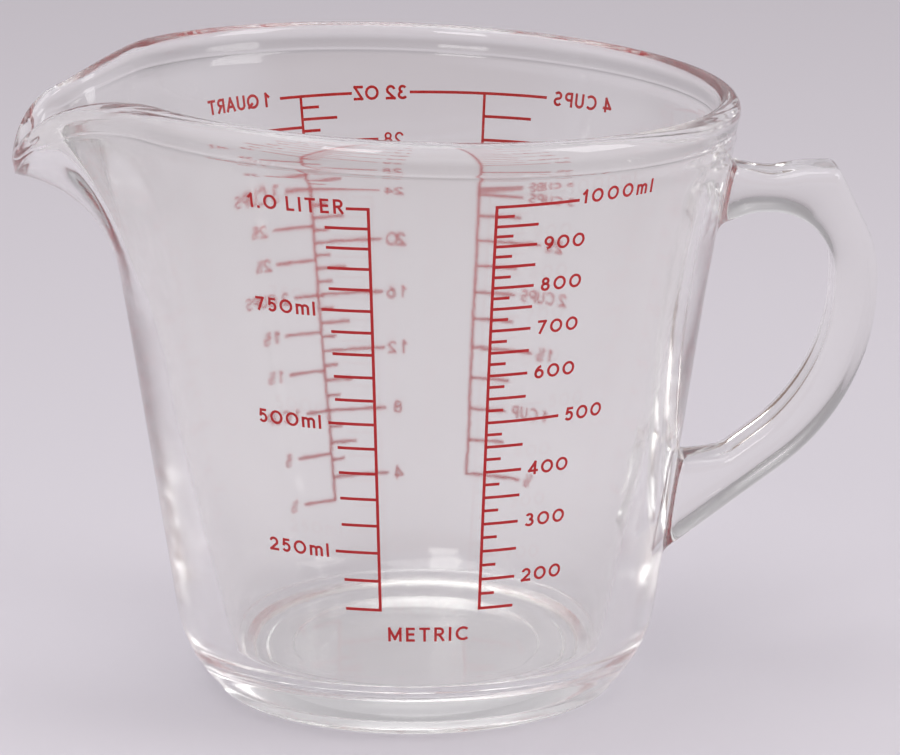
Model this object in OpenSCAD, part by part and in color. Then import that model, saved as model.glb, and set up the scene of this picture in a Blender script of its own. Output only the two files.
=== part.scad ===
// Pressed-glass measuring jug with fired enamel scales.
// Millimetres. The jug axis is the Z axis and the table is z = 0.
// The spout points to -X, the handle to +X and the metric scales face -Y.

/* [Bowl] */
// Outer radius of the wall, carried on down to the table
wall_foot_r = 49.2; // [44:0.1:56]
// Slope of the wall away from upright, in degrees
wall_slope = 8.4; // [5:0.1:12]
// Thickness of the wall
wall_t = 4.5; // [3.5:0.1:6]
// Height of the inside floor
floor_z = 8.6; // [7:0.1:12]
// Radius of the corner between the floor and the wall
floor_corner_r = 8; // [4:0.5:12]

/* [Heel and foot] */
// Height at which the wall turns into the heel
heel_z = 17; // [14:0.5:20]
// Radius of the heel
heel_r = 28; // [26:0.5:34]
// Height of the foot ring
foot_h = 1.8; // [1.2:0.1:3]
// How far the foot ring is set in from the heel
foot_inset = 1.2; // [0.6:0.1:2]
// Width of the flat that rests on the table
foot_flat_w = 3; // [2:0.1:5]
// Radius of the edges of the foot ring
foot_edge_r = 0.6; // [0.3:0.1:1]
// Height of the hollow under the base
hollow_h = 1.6; // [1:0.1:3]
// Radius of the shallow disc in the middle of the hollow
disc_r = 33; // [25:0.5:35]
// How far that disc comes down
disc_h = 0.5; // [0.2:0.1:0.8]

/* [Rim] */
// Height of the rim above the table, at the jug axis
rim_z = 131; // [126:0.5:140]
// Slope of the rim, which rises towards the spout, in degrees
rim_slope = 2.5; // [0:0.1:4]
// Height of the thick band at the rim
band_h = 6.6; // [5:0.1:8]
// How far the band stands out from the wall
band_out = 1.7; // [1:0.1:2.5]
// How far the band stands in from the wall
band_in = 0.4; // [0.3:0.1:1]
// How far the crest of the rim lies in from the foot of the band
crest_in = 1.7; // [1.2:0.1:2.2]

/* [Spout] */
// Half of the angle over which the rim opens into the spout
spout_half_angle = 36; // [32:1:40]
// Depth below the rim at which the wall starts to flare
spout_depth = 46; // [40:1:50]
// How far the crest of the spout reaches past the crest of the rim
spout_reach = 14.2; // [10:0.5:20]
// Half of the width of the spout between its crests
spout_half_w = 16.5; // [14:0.5:19]
// How far the pouring lip lies below the rim
spout_drop = 16.4; // [10:0.1:18]
// How far the crests of the sides lie below the rim
spout_side_drop = 6.4; // [3:0.1:8]
// Share of the lip's section that is left at its tip
spout_tip_share = 0.8; // [0.6:0.05:1]

/* [Handle] */
// Height of the middle of the upper arm
handle_z = 106.8; // [98:0.1:112]
// Distance from the jug axis to the middle of the grip
handle_x = 94; // [88:0.5:104]
// Thickness of the bar, seen from the front
bar_t = 9.2; // [7:0.1:11]
// Depth of the bar, from front to back
bar_d = 15; // [12:0.5:18]
// Radius of the bar's edges
bar_edge_r = 3; // [2:0.1:3.4]
// Radius of the upper bend, at the middle of the bar
upper_bend_r = 18.5; // [14:0.5:20]
// Length of the straight grip between the bends
grip_l = 1.7; // [1:0.1:6]
// Radius of the lower sweep, at the middle of the bar
lower_sweep_r = 45.5; // [40:0.5:50]
// Slope of the lower arm, in degrees
lower_slope = 36; // [30:1:40]
// How far the thumb stop runs past the start of the upper bend
thumb_l = 14.5; // [12:0.5:15.5]
// Length of the web that spreads the top of the lower arm over the wall
web_l = 9; // [6:0.5:12]

/* [Enamel] */
// Thickness of the fired enamel
enamel_t = 0.12; // [0.1:0.01:0.3]
// Width of a printed line
line_w = 0.62; // [0.4:0.02:1]
// Least height that is left free between the top line of a print and the rim
freeboard = 12; // [11:0.5:16]

/* [Metric print] */
// Angle from the middle of the front to each of the two spines, in degrees
spine_angle = 10.9; // [9:0.1:12]
// Length of the line at every 50 ml; every length of print is its length at the top line
tick_l = 8.8; // [6:0.1:10]
// Length of the line at every 25 ml
short_tick_l = 3.5; // [2:0.1:5]
// Length of the lines that lead to the captions of the litre scale
label_tick_l = 10.7; // [8:0.1:12]
// Length of the litre scale's top line
litre_top_tick_l = 4.2; // [3:0.1:6]
// Length of the millilitre scale's line at every half litre
main_tick_l = 17.6; // [14:0.1:20]

/* [Cup and ounce print] */
// How far the whole print at the back sits above the heights that its volumes fill
back_rise = 2; // [0:0.1:3]
// Angle from the middle of the back to the ounce spine, in degrees
ounce_spine_angle = 19.6; // [17:0.1:22]
// Angle from the middle of the back to the cup spine, in degrees
cup_spine_angle = 17.1; // [15:0.1:20]
// Length of the line at every fluid ounce
ounce_tick_l = 4; // [2:0.1:5]
// Length of the line at every second fluid ounce
pair_tick_l = 8.3; // [6:0.1:10]
// Length of the line at every fourth fluid ounce, which leads to a numeral
ounce_label_tick_l = 18; // [14:0.1:20]
// Length of the lines at thirds of a cup on the ounce spine and at quarters on the cup spine
cup_tick_l = 11.4; // [8:0.1:14]
// Length of the lines at whole cups on the ounce spine
whole_cup_tick_l = 6.9; // [4:0.1:9]
// Length of the lines at half cups on the cup spine
half_cup_tick_l = 18; // [14:0.1:20]
// How far the line at one quart runs on past the ounce spine
quart_ounce_l = 4.9; // [3:0.1:8]
// How far the line at one quart runs on past the cup spine
quart_cup_l = 15; // [10:0.1:18]
// Width of the caption's place in that line
caption_w = 13.5; // [10:0.5:16]
// Angle from the middle of the back to the middle of that place, in degrees
caption_angle = 3.4; // [0:0.1:6]

/* [Hidden] */

$fn = 96;
glass = [0.86, 0.89, 0.9, 0.35];
enamel = [0.69, 0.13, 0.15];
big = 400;

// Wall: outer radius and inner radius at a height
wall_tan = tan(wall_slope);
wall_t_level = wall_t / cos(wall_slope);
function wall_r(z) = wall_foot_r + wall_tan * z;
function inner_r(z) = wall_r(z) - wall_t_level;

// Volumes in millilitres, and the height that each one fills
mm3_per_ml = 1000;
ml_per_ounce = 29.5735;
ounces_per_cup = 8;
corner_r = inner_r(floor_z);
corner_loss = 2 * PI * corner_r * (1 - PI / 4) * pow(floor_corner_r, 2);
function fill_z(ml) =
    (pow(3 * wall_tan * (mm3_per_ml * ml + corner_loss) / PI + pow(corner_r, 3), 1 / 3) - corner_r)
    / wall_tan + floor_z;
function fill_ml(z) =
    (PI / (3 * wall_tan) * (pow(inner_r(z), 3) - pow(corner_r, 3)) - corner_loss) / mm3_per_ml;
function ounce_z(ounces) = fill_z(ounces * ml_per_ounce) + back_rise;
function cup_z(cups) = ounce_z(cups * ounces_per_cup);

// Heel: an arc that leaves the wall at heel_z and ends on the top of the foot ring
heel_c = [wall_r(heel_z) - heel_r * cos(wall_slope), heel_z + heel_r * sin(wall_slope)];
heel_end = asin((heel_c[1] - foot_h) / heel_r);
foot_r = heel_c[0] + heel_r * cos(heel_end) - foot_inset;
flat_r = foot_r - foot_edge_r;
hollow_r = flat_r - foot_flat_w;
corner_c = [inner_r(floor_z + floor_corner_r) - floor_corner_r / cos(wall_slope), floor_z + floor_corner_r];

// Rim: radii in the plane of the rim, whose middle lies a little towards the spout
rim_base_r = wall_r(rim_z - band_h);
rim_shift = -rim_base_r * tan(rim_slope) * wall_tan;
crest_r = rim_base_r - crest_in;
band_r = rim_base_r + band_out;
mouth_r = rim_base_r - wall_t_level - band_in;
band_round_h = 3.3;
mouth_round_h = 2.6;
band_round = [band_r - crest_r, band_round_h];
mouth_round = [crest_r - mouth_r, mouth_round_h];
band_chamfer = 1.2;
band_ledge = 0.8;
band_root = 1;
wall_top_z = rim_z + band_r * tan(rim_slope) + band_h;

// Curves
arc_steps = 12;
round_steps = 6;
function arc(c, r, a0, a1, n) =
    [for (i = [0:n]) let (a = a0 + (a1 - a0) * i / n) [c[0] + r[0] * cos(a), c[1] + r[1] * sin(a)]];
function mix(a, b, t) = a + (b - a) * t;
function bezier(p, t) =
    pow(1 - t, 3) * p[0] + 3 * t * pow(1 - t, 2) * p[1] + 3 * t * t * (1 - t) * p[2] + pow(t, 3) * p[3];
function unit(v) = v / norm(v);

// The plane of the rim
module at_rim() {
    translate([rim_shift, 0, rim_z]) rotate([0, rim_slope, 0]) children();
}

// Section of the wall, the heel, the foot and the floor, to the right of the axis
module bowl_section() {
    polygon(concat(
        [[0, hollow_h - disc_h], [disc_r, hollow_h - disc_h], [disc_r + disc_h, hollow_h],
         [hollow_r - hollow_h, hollow_h], [hollow_r, 0]],
        arc([flat_r, foot_edge_r], [foot_edge_r, foot_edge_r], -90, 0, round_steps),
        [[foot_r, foot_h]],
        arc(heel_c, [heel_r, heel_r], -heel_end, -wall_slope, arc_steps),
        [[wall_r(wall_top_z), wall_top_z], [inner_r(wall_top_z), wall_top_z]],
        arc(corner_c, [floor_corner_r, floor_corner_r], -wall_slope, -90, arc_steps),
        [[0, floor_z]]
    ));
}

// Outline of the rim from the band, over the crest, to the mouth; each point is
// its distance outwards from the crest and its height
lip_points = concat(
    [[rim_base_r - crest_r, -band_h], [rim_base_r + band_ledge - crest_r, -band_h],
     [band_r - crest_r, band_chamfer - band_h]],
    arc([0, -band_round_h], band_round, 0, 90, round_steps),
    [for (i = [1:round_steps]) arc([0, -mouth_round_h], mouth_round, 90, 180, round_steps)[i]]
);

// The foot of the band runs on into the wall
module band_section() {
    polygon(concat(
        [[rim_base_r - band_root, -band_h]],
        [for (i = [1:len(lip_points) - 1]) [crest_r + lip_points[i][0], lip_points[i][1]]],
        [[mouth_r, band_chamfer / 2 - band_h], [mouth_r + band_in + band_root, -band_h]]
    ));
}

// The wedge of the wall and the rim that the spout takes the place of
module spout_wedge() {
    wedge_r = 2 * band_r;
    at_rim() translate([0, 0, -spout_depth]) linear_extrude(2 * spout_depth)
        polygon([[0, 0],
                 [-wedge_r * cos(spout_half_angle), wedge_r * sin(spout_half_angle)],
                 [-wedge_r, 0],
                 [-wedge_r * cos(spout_half_angle), -wedge_r * sin(spout_half_angle)]]);
}

module bowl() {
    color(glass) difference() {
        union() {
            difference() {
                rotate_extrude() bowl_section();
                at_rim() translate([0, 0, -band_h / 2]) cylinder(r = big, h = big);
            }
            at_rim() rotate_extrude() band_section();
        }
        spout_wedge();
    }
}

// Spout. Its points are in the plane of the rim: u runs out towards the spout,
// v across it and w up. The crest runs from the rim, along each side, to the lip.
spout_steps = 12;
flare_steps = 10;
side_out = 7;
side_dir = [1, -0.05, -0.45];
rim_dip = 0.05;
rim_lead = 14;
side_lead = 6;
tip_lead = [0, 9, 2];
rim_end = [crest_r * cos(spout_half_angle), crest_r * sin(spout_half_angle), 0];
rim_dir = [sin(spout_half_angle), -cos(spout_half_angle), -rim_dip];
spout_side = [crest_r + side_out, spout_half_w, -spout_side_drop];
spout_tip = [crest_r + spout_reach, 0, -spout_drop];
crest_to_side = [rim_end, rim_end + rim_lead * rim_dir, spout_side - side_lead * side_dir, spout_side];
crest_to_tip = [spout_side, spout_side + side_lead * side_dir, spout_tip + tip_lead, spout_tip];
side_share = 0.5;

// Crest on the side where v is positive, from s = 0 at the lip to s = 1 at the rim
function half_crest(s) =
    s < side_share
    ? bezier(crest_to_tip, 1 - s / side_share)
    : bezier(crest_to_side, 1 - (s - side_share) / (1 - side_share));
function flip(p, s) = s < 0 ? [p[0], -p[1], p[2]] : p;
function crest(s) = flip(half_crest(abs(s)), s);

// Level direction that points out of the spout, square to the crest
crest_probe = 0.004;
function crest_out(s) =
    abs(s) == 1 ? [cos(s * spout_half_angle), sin(s * spout_half_angle), 0]
    : let (d = crest(s + crest_probe) - crest(s - crest_probe)) unit([d[1], -d[0], 0]);

// Distance from the axis, in the plane of the rim, at which a ray meets a wall
wall_tries = 6;
function to_table(p) =
    [rim_shift - p[0] * cos(rim_slope) + p[2] * sin(rim_slope), -p[1],
     rim_z + p[0] * sin(rim_slope) + p[2] * cos(rim_slope)];
function ray_point(a, w, r) = [r * cos(a), r * sin(a), w];
function wall_miss(p, inside) =
    let (q = to_table(p)) (inside ? inner_r(q[2]) : wall_r(q[2])) - norm([q[0], q[1]]);
function wall_point(a, w, inside, r, tries) =
    let (p = ray_point(a, w, r))
    tries == 0 ? p : wall_point(a, w, inside, r + wall_miss(p, inside), tries - 1);

// The flare from the wall up to the lip, on the outside or the inside
flare_up = [17, 19];
flare_out = [10, 11];
flare_dir = [1, 0, 0.15];
function spout_part(s) = (1 + cos(180 * s)) / 2;
function flare(s, side, end, inside) =
    let (a = s * spout_half_angle,
         start = wall_point(a, -spout_depth, inside, crest_r, wall_tries),
         up = unit([wall_tan * cos(a), wall_tan * sin(a), 1]),
         share = norm(end - start) / 3,
         k = spout_part(s),
         out = unit(mix(up, flare_dir, k)))
    [start, start + mix(share, flare_up[side], k) * up, end - mix(share, flare_out[side], k) * out, end];

function lip_point(s, p) =
    let (k = mix(1, spout_tip_share, spout_part(s)))
    crest(s) + k * p[0] * crest_out(s) + [0, 0, k * p[1]];
function spout_ring(s) =
    let (outer = flare(s, 0, lip_point(s, lip_points[0]), false),
         inner = flare(s, 1, lip_point(s, lip_points[len(lip_points) - 1]), true))
    concat(
        [for (i = [0:flare_steps - 1]) bezier(outer, i / flare_steps)],
        [for (p = lip_points) lip_point(s, p)],
        [for (i = [1:flare_steps]) bezier(inner, 1 - i / flare_steps)]
    );

// A closed skin through rings of points, each with as many points as the next
module skin(rings) {
    n = len(rings[0]);
    m = len(rings);
    polyhedron(
        [for (ring = rings) for (p = ring) p],
        concat(
            [[for (j = [n - 1:-1:0]) j]],
            [for (i = [0:m - 2]) for (j = [0:n - 1]) let (a = i * n + j, b = i * n + (j + 1) % n)
                for (tri = [[a, b, a + n], [b, b + n, a + n]]) tri],
            [[for (j = [0:n - 1]) (m - 1) * n + j]]
        )
    );
}

module spout() {
    color(glass) at_rim() rotate([0, 0, 180])
        skin([for (i = [-spout_steps:spout_steps]) spout_ring(i / spout_steps)]);
}

// Handle. Its bar follows a straight arm, a bend, the grip, a wide sweep and a sloping arm.
// Angles and directions are in the XZ plane; an angle is that of the direction out of the loop.
function dir(a) = [cos(a), sin(a)];
bend_c = [handle_x - upper_bend_r, handle_z - upper_bend_r];
sweep_c = [handle_x - lower_sweep_r, bend_c[1] - grip_l];
arm_angle = lower_slope - 90;
arm_end = sweep_c + lower_sweep_r * dir(arm_angle);
arm_l = (arm_end[0] - wall_foot_r + bar_t) / cos(lower_slope);

// The thumb stop carries the flat top of the arm on to a corner over the bend
thumb_angle = 25;
bend_out_r = upper_bend_r + bar_t / 2;
thumb_corner = [thumb_l, bend_out_r];
thumb_side = bend_out_r * dir(thumb_angle) - thumb_corner;
thumb_corner_angle = atan2(thumb_corner[1], thumb_corner[0]);
function thumb_reach(a) =
    a >= thumb_corner_angle ? bend_out_r / sin(a)
    : a > thumb_angle ? cross(thumb_corner, thumb_side) / cross(dir(a), thumb_side)
    : bend_out_r;

// The top of the lower arm turns level over the last of its way to the wall
web_start = (arm_end[0] - bar_t / 2 * dir(arm_angle)[0] - wall_r(arm_end[1]) - web_l) / cos(lower_slope);

// A station is the middle of the bar, its angle, and how much thicker the bar is on its outside and inside
bend_steps = 6;
sweep_steps = 12;
function steps(from, to, n) = [for (i = [1:n]) from + (to - from) * i / n];
function bend_station(a) = [bend_c + upper_bend_r * dir(a), a, thumb_reach(a) - bend_out_r, 0];
function sweep_station(a) = [sweep_c + lower_sweep_r * dir(a), a, 0, 0];
function arm_station(s) =
    [arm_end + s * dir(180 + lower_slope), arm_angle, 0, max(0, s - web_start) * tan(lower_slope)];
bend_angles = concat([90], steps(90, thumb_corner_angle, bend_steps),
                     steps(thumb_corner_angle, thumb_angle, bend_steps), steps(thumb_angle, 0, bend_steps));
stations = concat(
    [[[wall_r(handle_z) - bar_t, handle_z], 90, 0, 0]],
    [for (a = bend_angles) bend_station(a)],
    [sweep_station(0)],
    [for (a = steps(0, arm_angle, sweep_steps)) sweep_station(a)],
    [for (s = [web_start, arm_l]) arm_station(s)]
);

// Section of the bar at a station: a rectangle with round edges
edge_steps = 4;
function bar_ring(station) =
    let (outer = bar_t / 2 - bar_edge_r + station[2],
         inner = bar_t / 2 - bar_edge_r + station[3],
         half_d = bar_d / 2 - bar_edge_r)
    [for (corner = [[outer, half_d, 0], [-inner, half_d, 90], [-inner, -half_d, 180], [outer, -half_d, 270]])
        for (i = [0:edge_steps])
            let (e = bar_edge_r * dir(corner[2] + 90 * i / edge_steps),
                 p = station[0] + (corner[0] + e[0]) * dir(station[1]))
            [p[0], corner[1] + e[1], p[1]]];

module handle() {
    color(glass) difference() {
        skin([for (station = stations) bar_ring(station)]);
        cylinder(r1 = wall_r(0), r2 = wall_r(big), h = big);
    }
}

// Enamel. A patch lies on the wall between two heights, over an angle that starts at a0.
front_a = -90;
back_a = 90;
module patch(z0, z1, a0, a1) {
    rotate_extrude(angle = a1 - a0, start = a0)
        polygon([[wall_r(z0), z0], [wall_r(z0) + enamel_t, z0],
                 [wall_r(z1) + enamel_t, z1], [wall_r(z1), z1]]);
}

// Volume of the top line of each print: the last of its steps that leaves the freeboard
tick_step = 50;
quarters = 4;
top_ml = tick_step * floor(fill_ml(rim_z - freeboard) / tick_step);
ml_per_quarter = ml_per_ounce * ounces_per_cup / quarters;
top_cups = floor(fill_ml(rim_z - freeboard - back_rise) / ml_per_quarter) / quarters;
top_ounces = top_cups * ounces_per_cup;

// The print lies on the wall as a fan: each of its lines covers one angle at every height
print_r = wall_r(fill_z(top_ml));
function turn(length) = length / print_r * 180 / PI;
spine_turn = turn(line_w);

// A line across the wall that leaves the edge of a spine; side is 1 or -1 round the jug
module tick(z, spine_a, side, length) {
    from = spine_a + side * spine_turn / 2;
    to = from + side * turn(length);
    patch(z - line_w / 2, z + line_w / 2, min(from, to), max(from, to));
}
module spine(spine_a, z0, z1) {
    patch(z0 - line_w / 2, z1 + line_w / 2, spine_a - spine_turn / 2, spine_a + spine_turn / 2);
}

// Metric print
first_ml = 150;
litre_label_step = 250;
main_step = 500;
short_tick_step = 25;
litre_a = front_a - spine_angle;
millilitre_a = front_a + spine_angle;

module litre_spine() {
    color(enamel) spine(litre_a, fill_z(first_ml), fill_z(top_ml));
}
module litre_label_lines() {
    color(enamel) for (ml = [litre_label_step:litre_label_step:top_ml])
        tick(fill_z(ml), litre_a, -1, ml == top_ml ? litre_top_tick_l : label_tick_l);
}
module litre_lines() {
    color(enamel) for (ml = [first_ml:tick_step:top_ml]) if (ml % litre_label_step != 0)
        tick(fill_z(ml), litre_a, -1, tick_l);
}

module millilitre_spine() {
    color(enamel) spine(millilitre_a, fill_z(first_ml), fill_z(top_ml));
}
module millilitre_main_lines() {
    color(enamel) for (ml = [main_step:main_step:top_ml])
        tick(fill_z(ml), millilitre_a, 1, main_tick_l);
}
module millilitre_lines() {
    color(enamel) for (ml = [first_ml:tick_step:top_ml]) if (ml % main_step != 0)
        tick(fill_z(ml), millilitre_a, 1, tick_l);
}
module millilitre_short_lines() {
    color(enamel) for (ml = [first_ml + short_tick_step:tick_step:top_ml])
        tick(fill_z(ml), millilitre_a, 1, short_tick_l);
}

// Cup and ounce print
first_ounce = 4;
label_ounces = 4;
thirds = 3;
first_quarter = 2;
ounce_a = back_a + ounce_spine_angle;
cup_a = back_a - cup_spine_angle;
caption_a = back_a + caption_angle;
quart_z = cup_z(top_cups);

// The top line, at one quart, runs from spine to spine and past both, with a place for a caption
module quart_line() {
    edge = spine_turn / 2;
    gap = turn(caption_w) / 2;
    spans = [
        [cup_a - edge - turn(quart_cup_l), cup_a - edge],
        [cup_a + edge, caption_a - gap],
        [caption_a + gap, ounce_a - edge],
        [ounce_a + edge, ounce_a + edge + turn(quart_ounce_l)]
    ];
    color(enamel) for (span = spans) patch(quart_z - line_w / 2, quart_z + line_w / 2, span[0], span[1]);
}

// The ounce spine has ounces on one side of it and thirds of a cup on the other
module ounce_spine() {
    color(enamel) spine(ounce_a, cup_z(1 / thirds), quart_z);
}
module ounce_label_lines() {
    color(enamel) for (ounces = [first_ounce:label_ounces:top_ounces - 1])
        tick(ounce_z(ounces), ounce_a, -1, ounce_label_tick_l);
}
module ounce_pair_lines() {
    color(enamel) for (ounces = [first_ounce + 2:label_ounces:top_ounces - 1])
        tick(ounce_z(ounces), ounce_a, -1, pair_tick_l);
}
module ounce_lines() {
    color(enamel) for (ounces = [first_ounce + 1:2:top_ounces - 1])
        tick(ounce_z(ounces), ounce_a, -1, ounce_tick_l);
}
module third_cup_lines() {
    color(enamel) for (part = [1:thirds * top_cups - 1]) if (part % thirds != 0)
        tick(cup_z(part / thirds), ounce_a, 1, cup_tick_l);
}
module whole_cup_lines() {
    color(enamel) for (cups = [1:top_cups - 1])
        tick(cup_z(cups), ounce_a, 1, whole_cup_tick_l);
}

// The cup spine has quarters of a cup, and the halves among them are longer
module cup_spine() {
    color(enamel) spine(cup_a, cup_z(first_quarter / quarters), quart_z);
}
module quarter_cup_lines() {
    color(enamel) for (part = [first_quarter:quarters * top_cups - 1]) if (part % quarters != first_quarter)
        tick(cup_z(part / quarters), cup_a, -1, cup_tick_l);
}
module half_cup_lines() {
    color(enamel) for (part = [first_quarter:quarters:quarters * top_cups - 1])
        tick(cup_z(part / quarters), cup_a, -1, half_cup_tick_l);
}

bowl();
spout();
handle();
litre_spine();
litre_label_lines();
litre_lines();
millilitre_spine();
millilitre_main_lines();
millilitre_lines();
millilitre_short_lines();
quart_line();
ounce_spine();
ounce_label_lines();
ounce_pair_lines();
ounce_lines();
third_cup_lines();
whole_cup_lines();
cup_spine();
quarter_cup_lines();
half_cup_lines();
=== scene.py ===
"""Clear pressed-glass measuring jug with fired red enamel scales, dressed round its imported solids.

Sizes are in millimetres and angles in radians, in the frame of the solids: the jug's axis is Z, the table is
z = 0, the spout points to -X, the handle to +X and the metric scales face -Y. Meshes are scaled to metres
when they are made.
"""

import logging
import math
from collections.abc import Callable, Iterable, Sequence
from dataclasses import dataclass, field
from enum import Enum
from functools import cached_property

import bmesh
import bpy
from mathutils import Matrix, Vector

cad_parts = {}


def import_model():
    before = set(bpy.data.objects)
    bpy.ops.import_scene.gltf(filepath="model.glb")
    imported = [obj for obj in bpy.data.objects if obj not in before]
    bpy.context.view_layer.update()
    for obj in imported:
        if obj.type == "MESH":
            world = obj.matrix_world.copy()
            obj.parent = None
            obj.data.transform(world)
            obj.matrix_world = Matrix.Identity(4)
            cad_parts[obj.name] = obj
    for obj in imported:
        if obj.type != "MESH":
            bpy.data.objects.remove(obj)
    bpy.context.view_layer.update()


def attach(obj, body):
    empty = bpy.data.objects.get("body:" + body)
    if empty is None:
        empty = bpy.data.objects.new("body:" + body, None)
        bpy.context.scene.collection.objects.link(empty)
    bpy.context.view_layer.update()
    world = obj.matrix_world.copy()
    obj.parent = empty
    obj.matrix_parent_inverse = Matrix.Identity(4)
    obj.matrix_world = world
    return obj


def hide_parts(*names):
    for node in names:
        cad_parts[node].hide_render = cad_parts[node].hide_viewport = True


LOG = logging.getLogger("jug")
MM = 0.001
MM3_PER_ML = 1000.0
HALVINGS = 40
BODY = "root"
PRESSED_LAYER = "pressed"

Point = tuple[float, float]
Place = tuple[float, float, float]
Colour = tuple[float, float, float, float]
Ring = list[Vector]
Tree = bpy.types.NodeTree
Socket = bpy.types.NodeSocket
Material = bpy.types.Material
Piece = bpy.types.Object
Mesh = bmesh.types.BMesh
Vert = bmesh.types.BMVert
Layer = bmesh.types.BMLayerItem
Grid = dict[tuple[int, int], Vert]


def mix(a: float, b: float, t: float) -> float:
    """Value a share t of the way from a to b."""
    return a + (b - a) * t


def even_shares(count: int, first: int = 0) -> list[float]:
    """Shares of a way at equal steps, from the first step that is asked for to the end."""
    return [i / count for i in range(first, count + 1)]


def polar(r: float, angle: float, z: float) -> Vector:
    """Point at a distance from an axis, an angle round it and a height."""
    return Vector((r * math.cos(angle), r * math.sin(angle), z))


def ease(t: float) -> float:
    """Smooth step from 0 to 1."""
    t = min(max(t, 0.0), 1.0)
    return t * t * (3 - 2 * t)


def soft_min(a: float, b: float, blend: float) -> float:
    """The smaller of two lengths, rounded where they are within a blend of each other."""
    overlap = max(blend - abs(a - b), 0.0) / blend
    return min(a, b) - overlap * overlap * blend / 4


def last_holding(holds: Callable[[float], bool], far: float) -> float:
    """Find by halving how far a condition holds.

    Args:
        holds: Whether the condition holds at a length; it holds at 0.
        far: Length at which it no longer holds.

    Returns:
        The longest length at which it was found to hold.
    """
    near = 0.0
    for _ in range(HALVINGS):
        middle = (near + far) / 2
        if holds(middle):
            near = middle
        else:
            far = middle
    return near


def bezier(p: Sequence[Vector], t: float) -> Vector:
    """Point on a cubic curve with four control points."""
    u = 1 - t
    return u**3 * p[0] + 3 * t * u * u * p[1] + 3 * t * t * u * p[2] + t**3 * p[3]


def soften(corners: Sequence[Point], radii: Sequence[float], steps: int = 4) -> list[Point]:
    """Round the corners of an open outline.

    Args:
        corners: Points of the outline; the first and the last stay as they are.
        radii: How far from each inner corner its curve starts.
        steps: Segments in each curve.

    Returns:
        The points of the rounded outline.
    """
    points = [corners[0]]
    for before, corner, after, radius in zip(corners, corners[1:], corners[2:], radii, strict=False):
        middle = Vector(corner)
        start = middle + radius * (Vector(before) - middle).normalized()
        end = middle + radius * (Vector(after) - middle).normalized()
        for t in even_shares(steps):
            points.append(tuple((1 - t) ** 2 * start + 2 * t * (1 - t) * middle + t * t * end))
    return [*points, corners[-1]]


def arc(centre: Point, radii: Point, start: float, end: float, steps: int) -> list[Point]:
    """Points on an arc of an ellipse.

    Args:
        centre: Middle of the ellipse.
        radii: Its half width and half height.
        start: First angle.
        end: Last angle.
        steps: Segments in the arc.

    Returns:
        The points, one more than the segments.
    """
    angles = (mix(start, end, t) for t in even_shares(steps))
    return [(centre[0] + radii[0] * math.cos(a), centre[1] + radii[1] * math.sin(a)) for a in angles]


def srgb(code: str) -> Colour:
    """Linear colour of an sRGB hex code."""
    parts = (int(code[i : i + 2], 16) / 255 for i in (1, 3, 5))
    return (*(c / 12.92 if c <= 0.04045 else ((c + 0.055) / 1.055) ** 2.4 for c in parts), 1.0)


def add_node(
    tree: Tree, kind: str, inputs: dict[str | int, object] | None = None, **settings: object
) -> bpy.types.Node:
    """Add a shader node.

    Args:
        tree: Node tree of the material or the world.
        kind: Blender's name for the node.
        inputs: Value, or output socket to link, for each input by name or index.
        **settings: Properties of the node.

    Returns:
        The new node.
    """
    node = tree.nodes.new(kind)
    for name, value in settings.items():
        setattr(node, name, value)
    for name, value in (inputs or {}).items():
        if isinstance(value, Socket):
            tree.links.new(value, node.inputs[name])
        else:
            node.inputs[name].default_value = value
    return node


def add_noise(tree: Tree, size_mm: float, detail: float = 0.0) -> Socket:
    """Add a noise pattern of a real size on the piece.

    Args:
        tree: Node tree of the material.
        size_mm: Size of the pattern.
        detail: How much finer noise it carries.

    Returns:
        The output of the pattern.
    """
    place = add_node(tree, "ShaderNodeTexCoord").outputs["Object"]
    inputs = {"Vector": place, "Scale": 1 / (size_mm * MM), "Detail": detail}
    return add_node(tree, "ShaderNodeTexNoise", inputs).outputs["Fac"]


def add_share(tree: Tree, value: Socket, span: Point, smooth: bool = False) -> Socket:
    """Add a node that says how far a value is on its way over a span, from 0 to 1.

    Args:
        tree: Node tree of the material or the world.
        value: The value.
        span: Where the share is 0 and where it is 1.
        smooth: Whether the share eases in and out.

    Returns:
        The share.
    """
    kind = "SMOOTHSTEP" if smooth else "LINEAR"
    inputs = {"Value": value, "From Min": span[0], "From Max": span[1]}
    return add_node(tree, "ShaderNodeMapRange", inputs, interpolation_type=kind).outputs["Result"]


def add_blend(tree: Tree, share: Socket, first: Colour | Socket, second: Colour | Socket) -> Socket:
    """Add a node that blends two colours.

    Args:
        tree: Node tree of the material or the world.
        share: Share of the second colour.
        first: The colour at a share of 0.
        second: The colour at a share of 1.

    Returns:
        The blended colour.
    """
    inputs = {"Factor": share, "A": first, "B": second}
    return add_node(tree, "ShaderNodeMix", inputs, data_type="RGBA").outputs["Result"]


def new_material(name: str) -> tuple[Material, Tree]:
    """Make a material with an empty node tree.

    Args:
        name: Name of the material.

    Returns:
        The material and its node tree.
    """
    material = bpy.data.materials.new(name)
    material.use_nodes = True
    material.node_tree.nodes.clear()
    return material, material.node_tree


def new_piece(name: str, bm: Mesh, material: Material, smooth: bool) -> Piece:
    """Turn a bmesh into an object of the scene.

    Args:
        name: Name of the piece.
        bm: Its mesh, in metres and in place; it is freed.
        material: Its finish.
        smooth: Whether its faces are shaded as one curved surface.

    Returns:
        The new object.
    """
    mesh = bpy.data.meshes.new(name)
    bm.to_mesh(mesh)
    bm.free()
    mesh.materials.append(material)
    mesh.polygons.foreach_set("use_smooth", [smooth] * len(mesh.polygons))
    piece = bpy.data.objects.new(name, mesh)
    bpy.context.scene.collection.objects.link(piece)
    LOG.info("%s: %d faces", name, len(mesh.polygons))
    return piece


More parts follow.
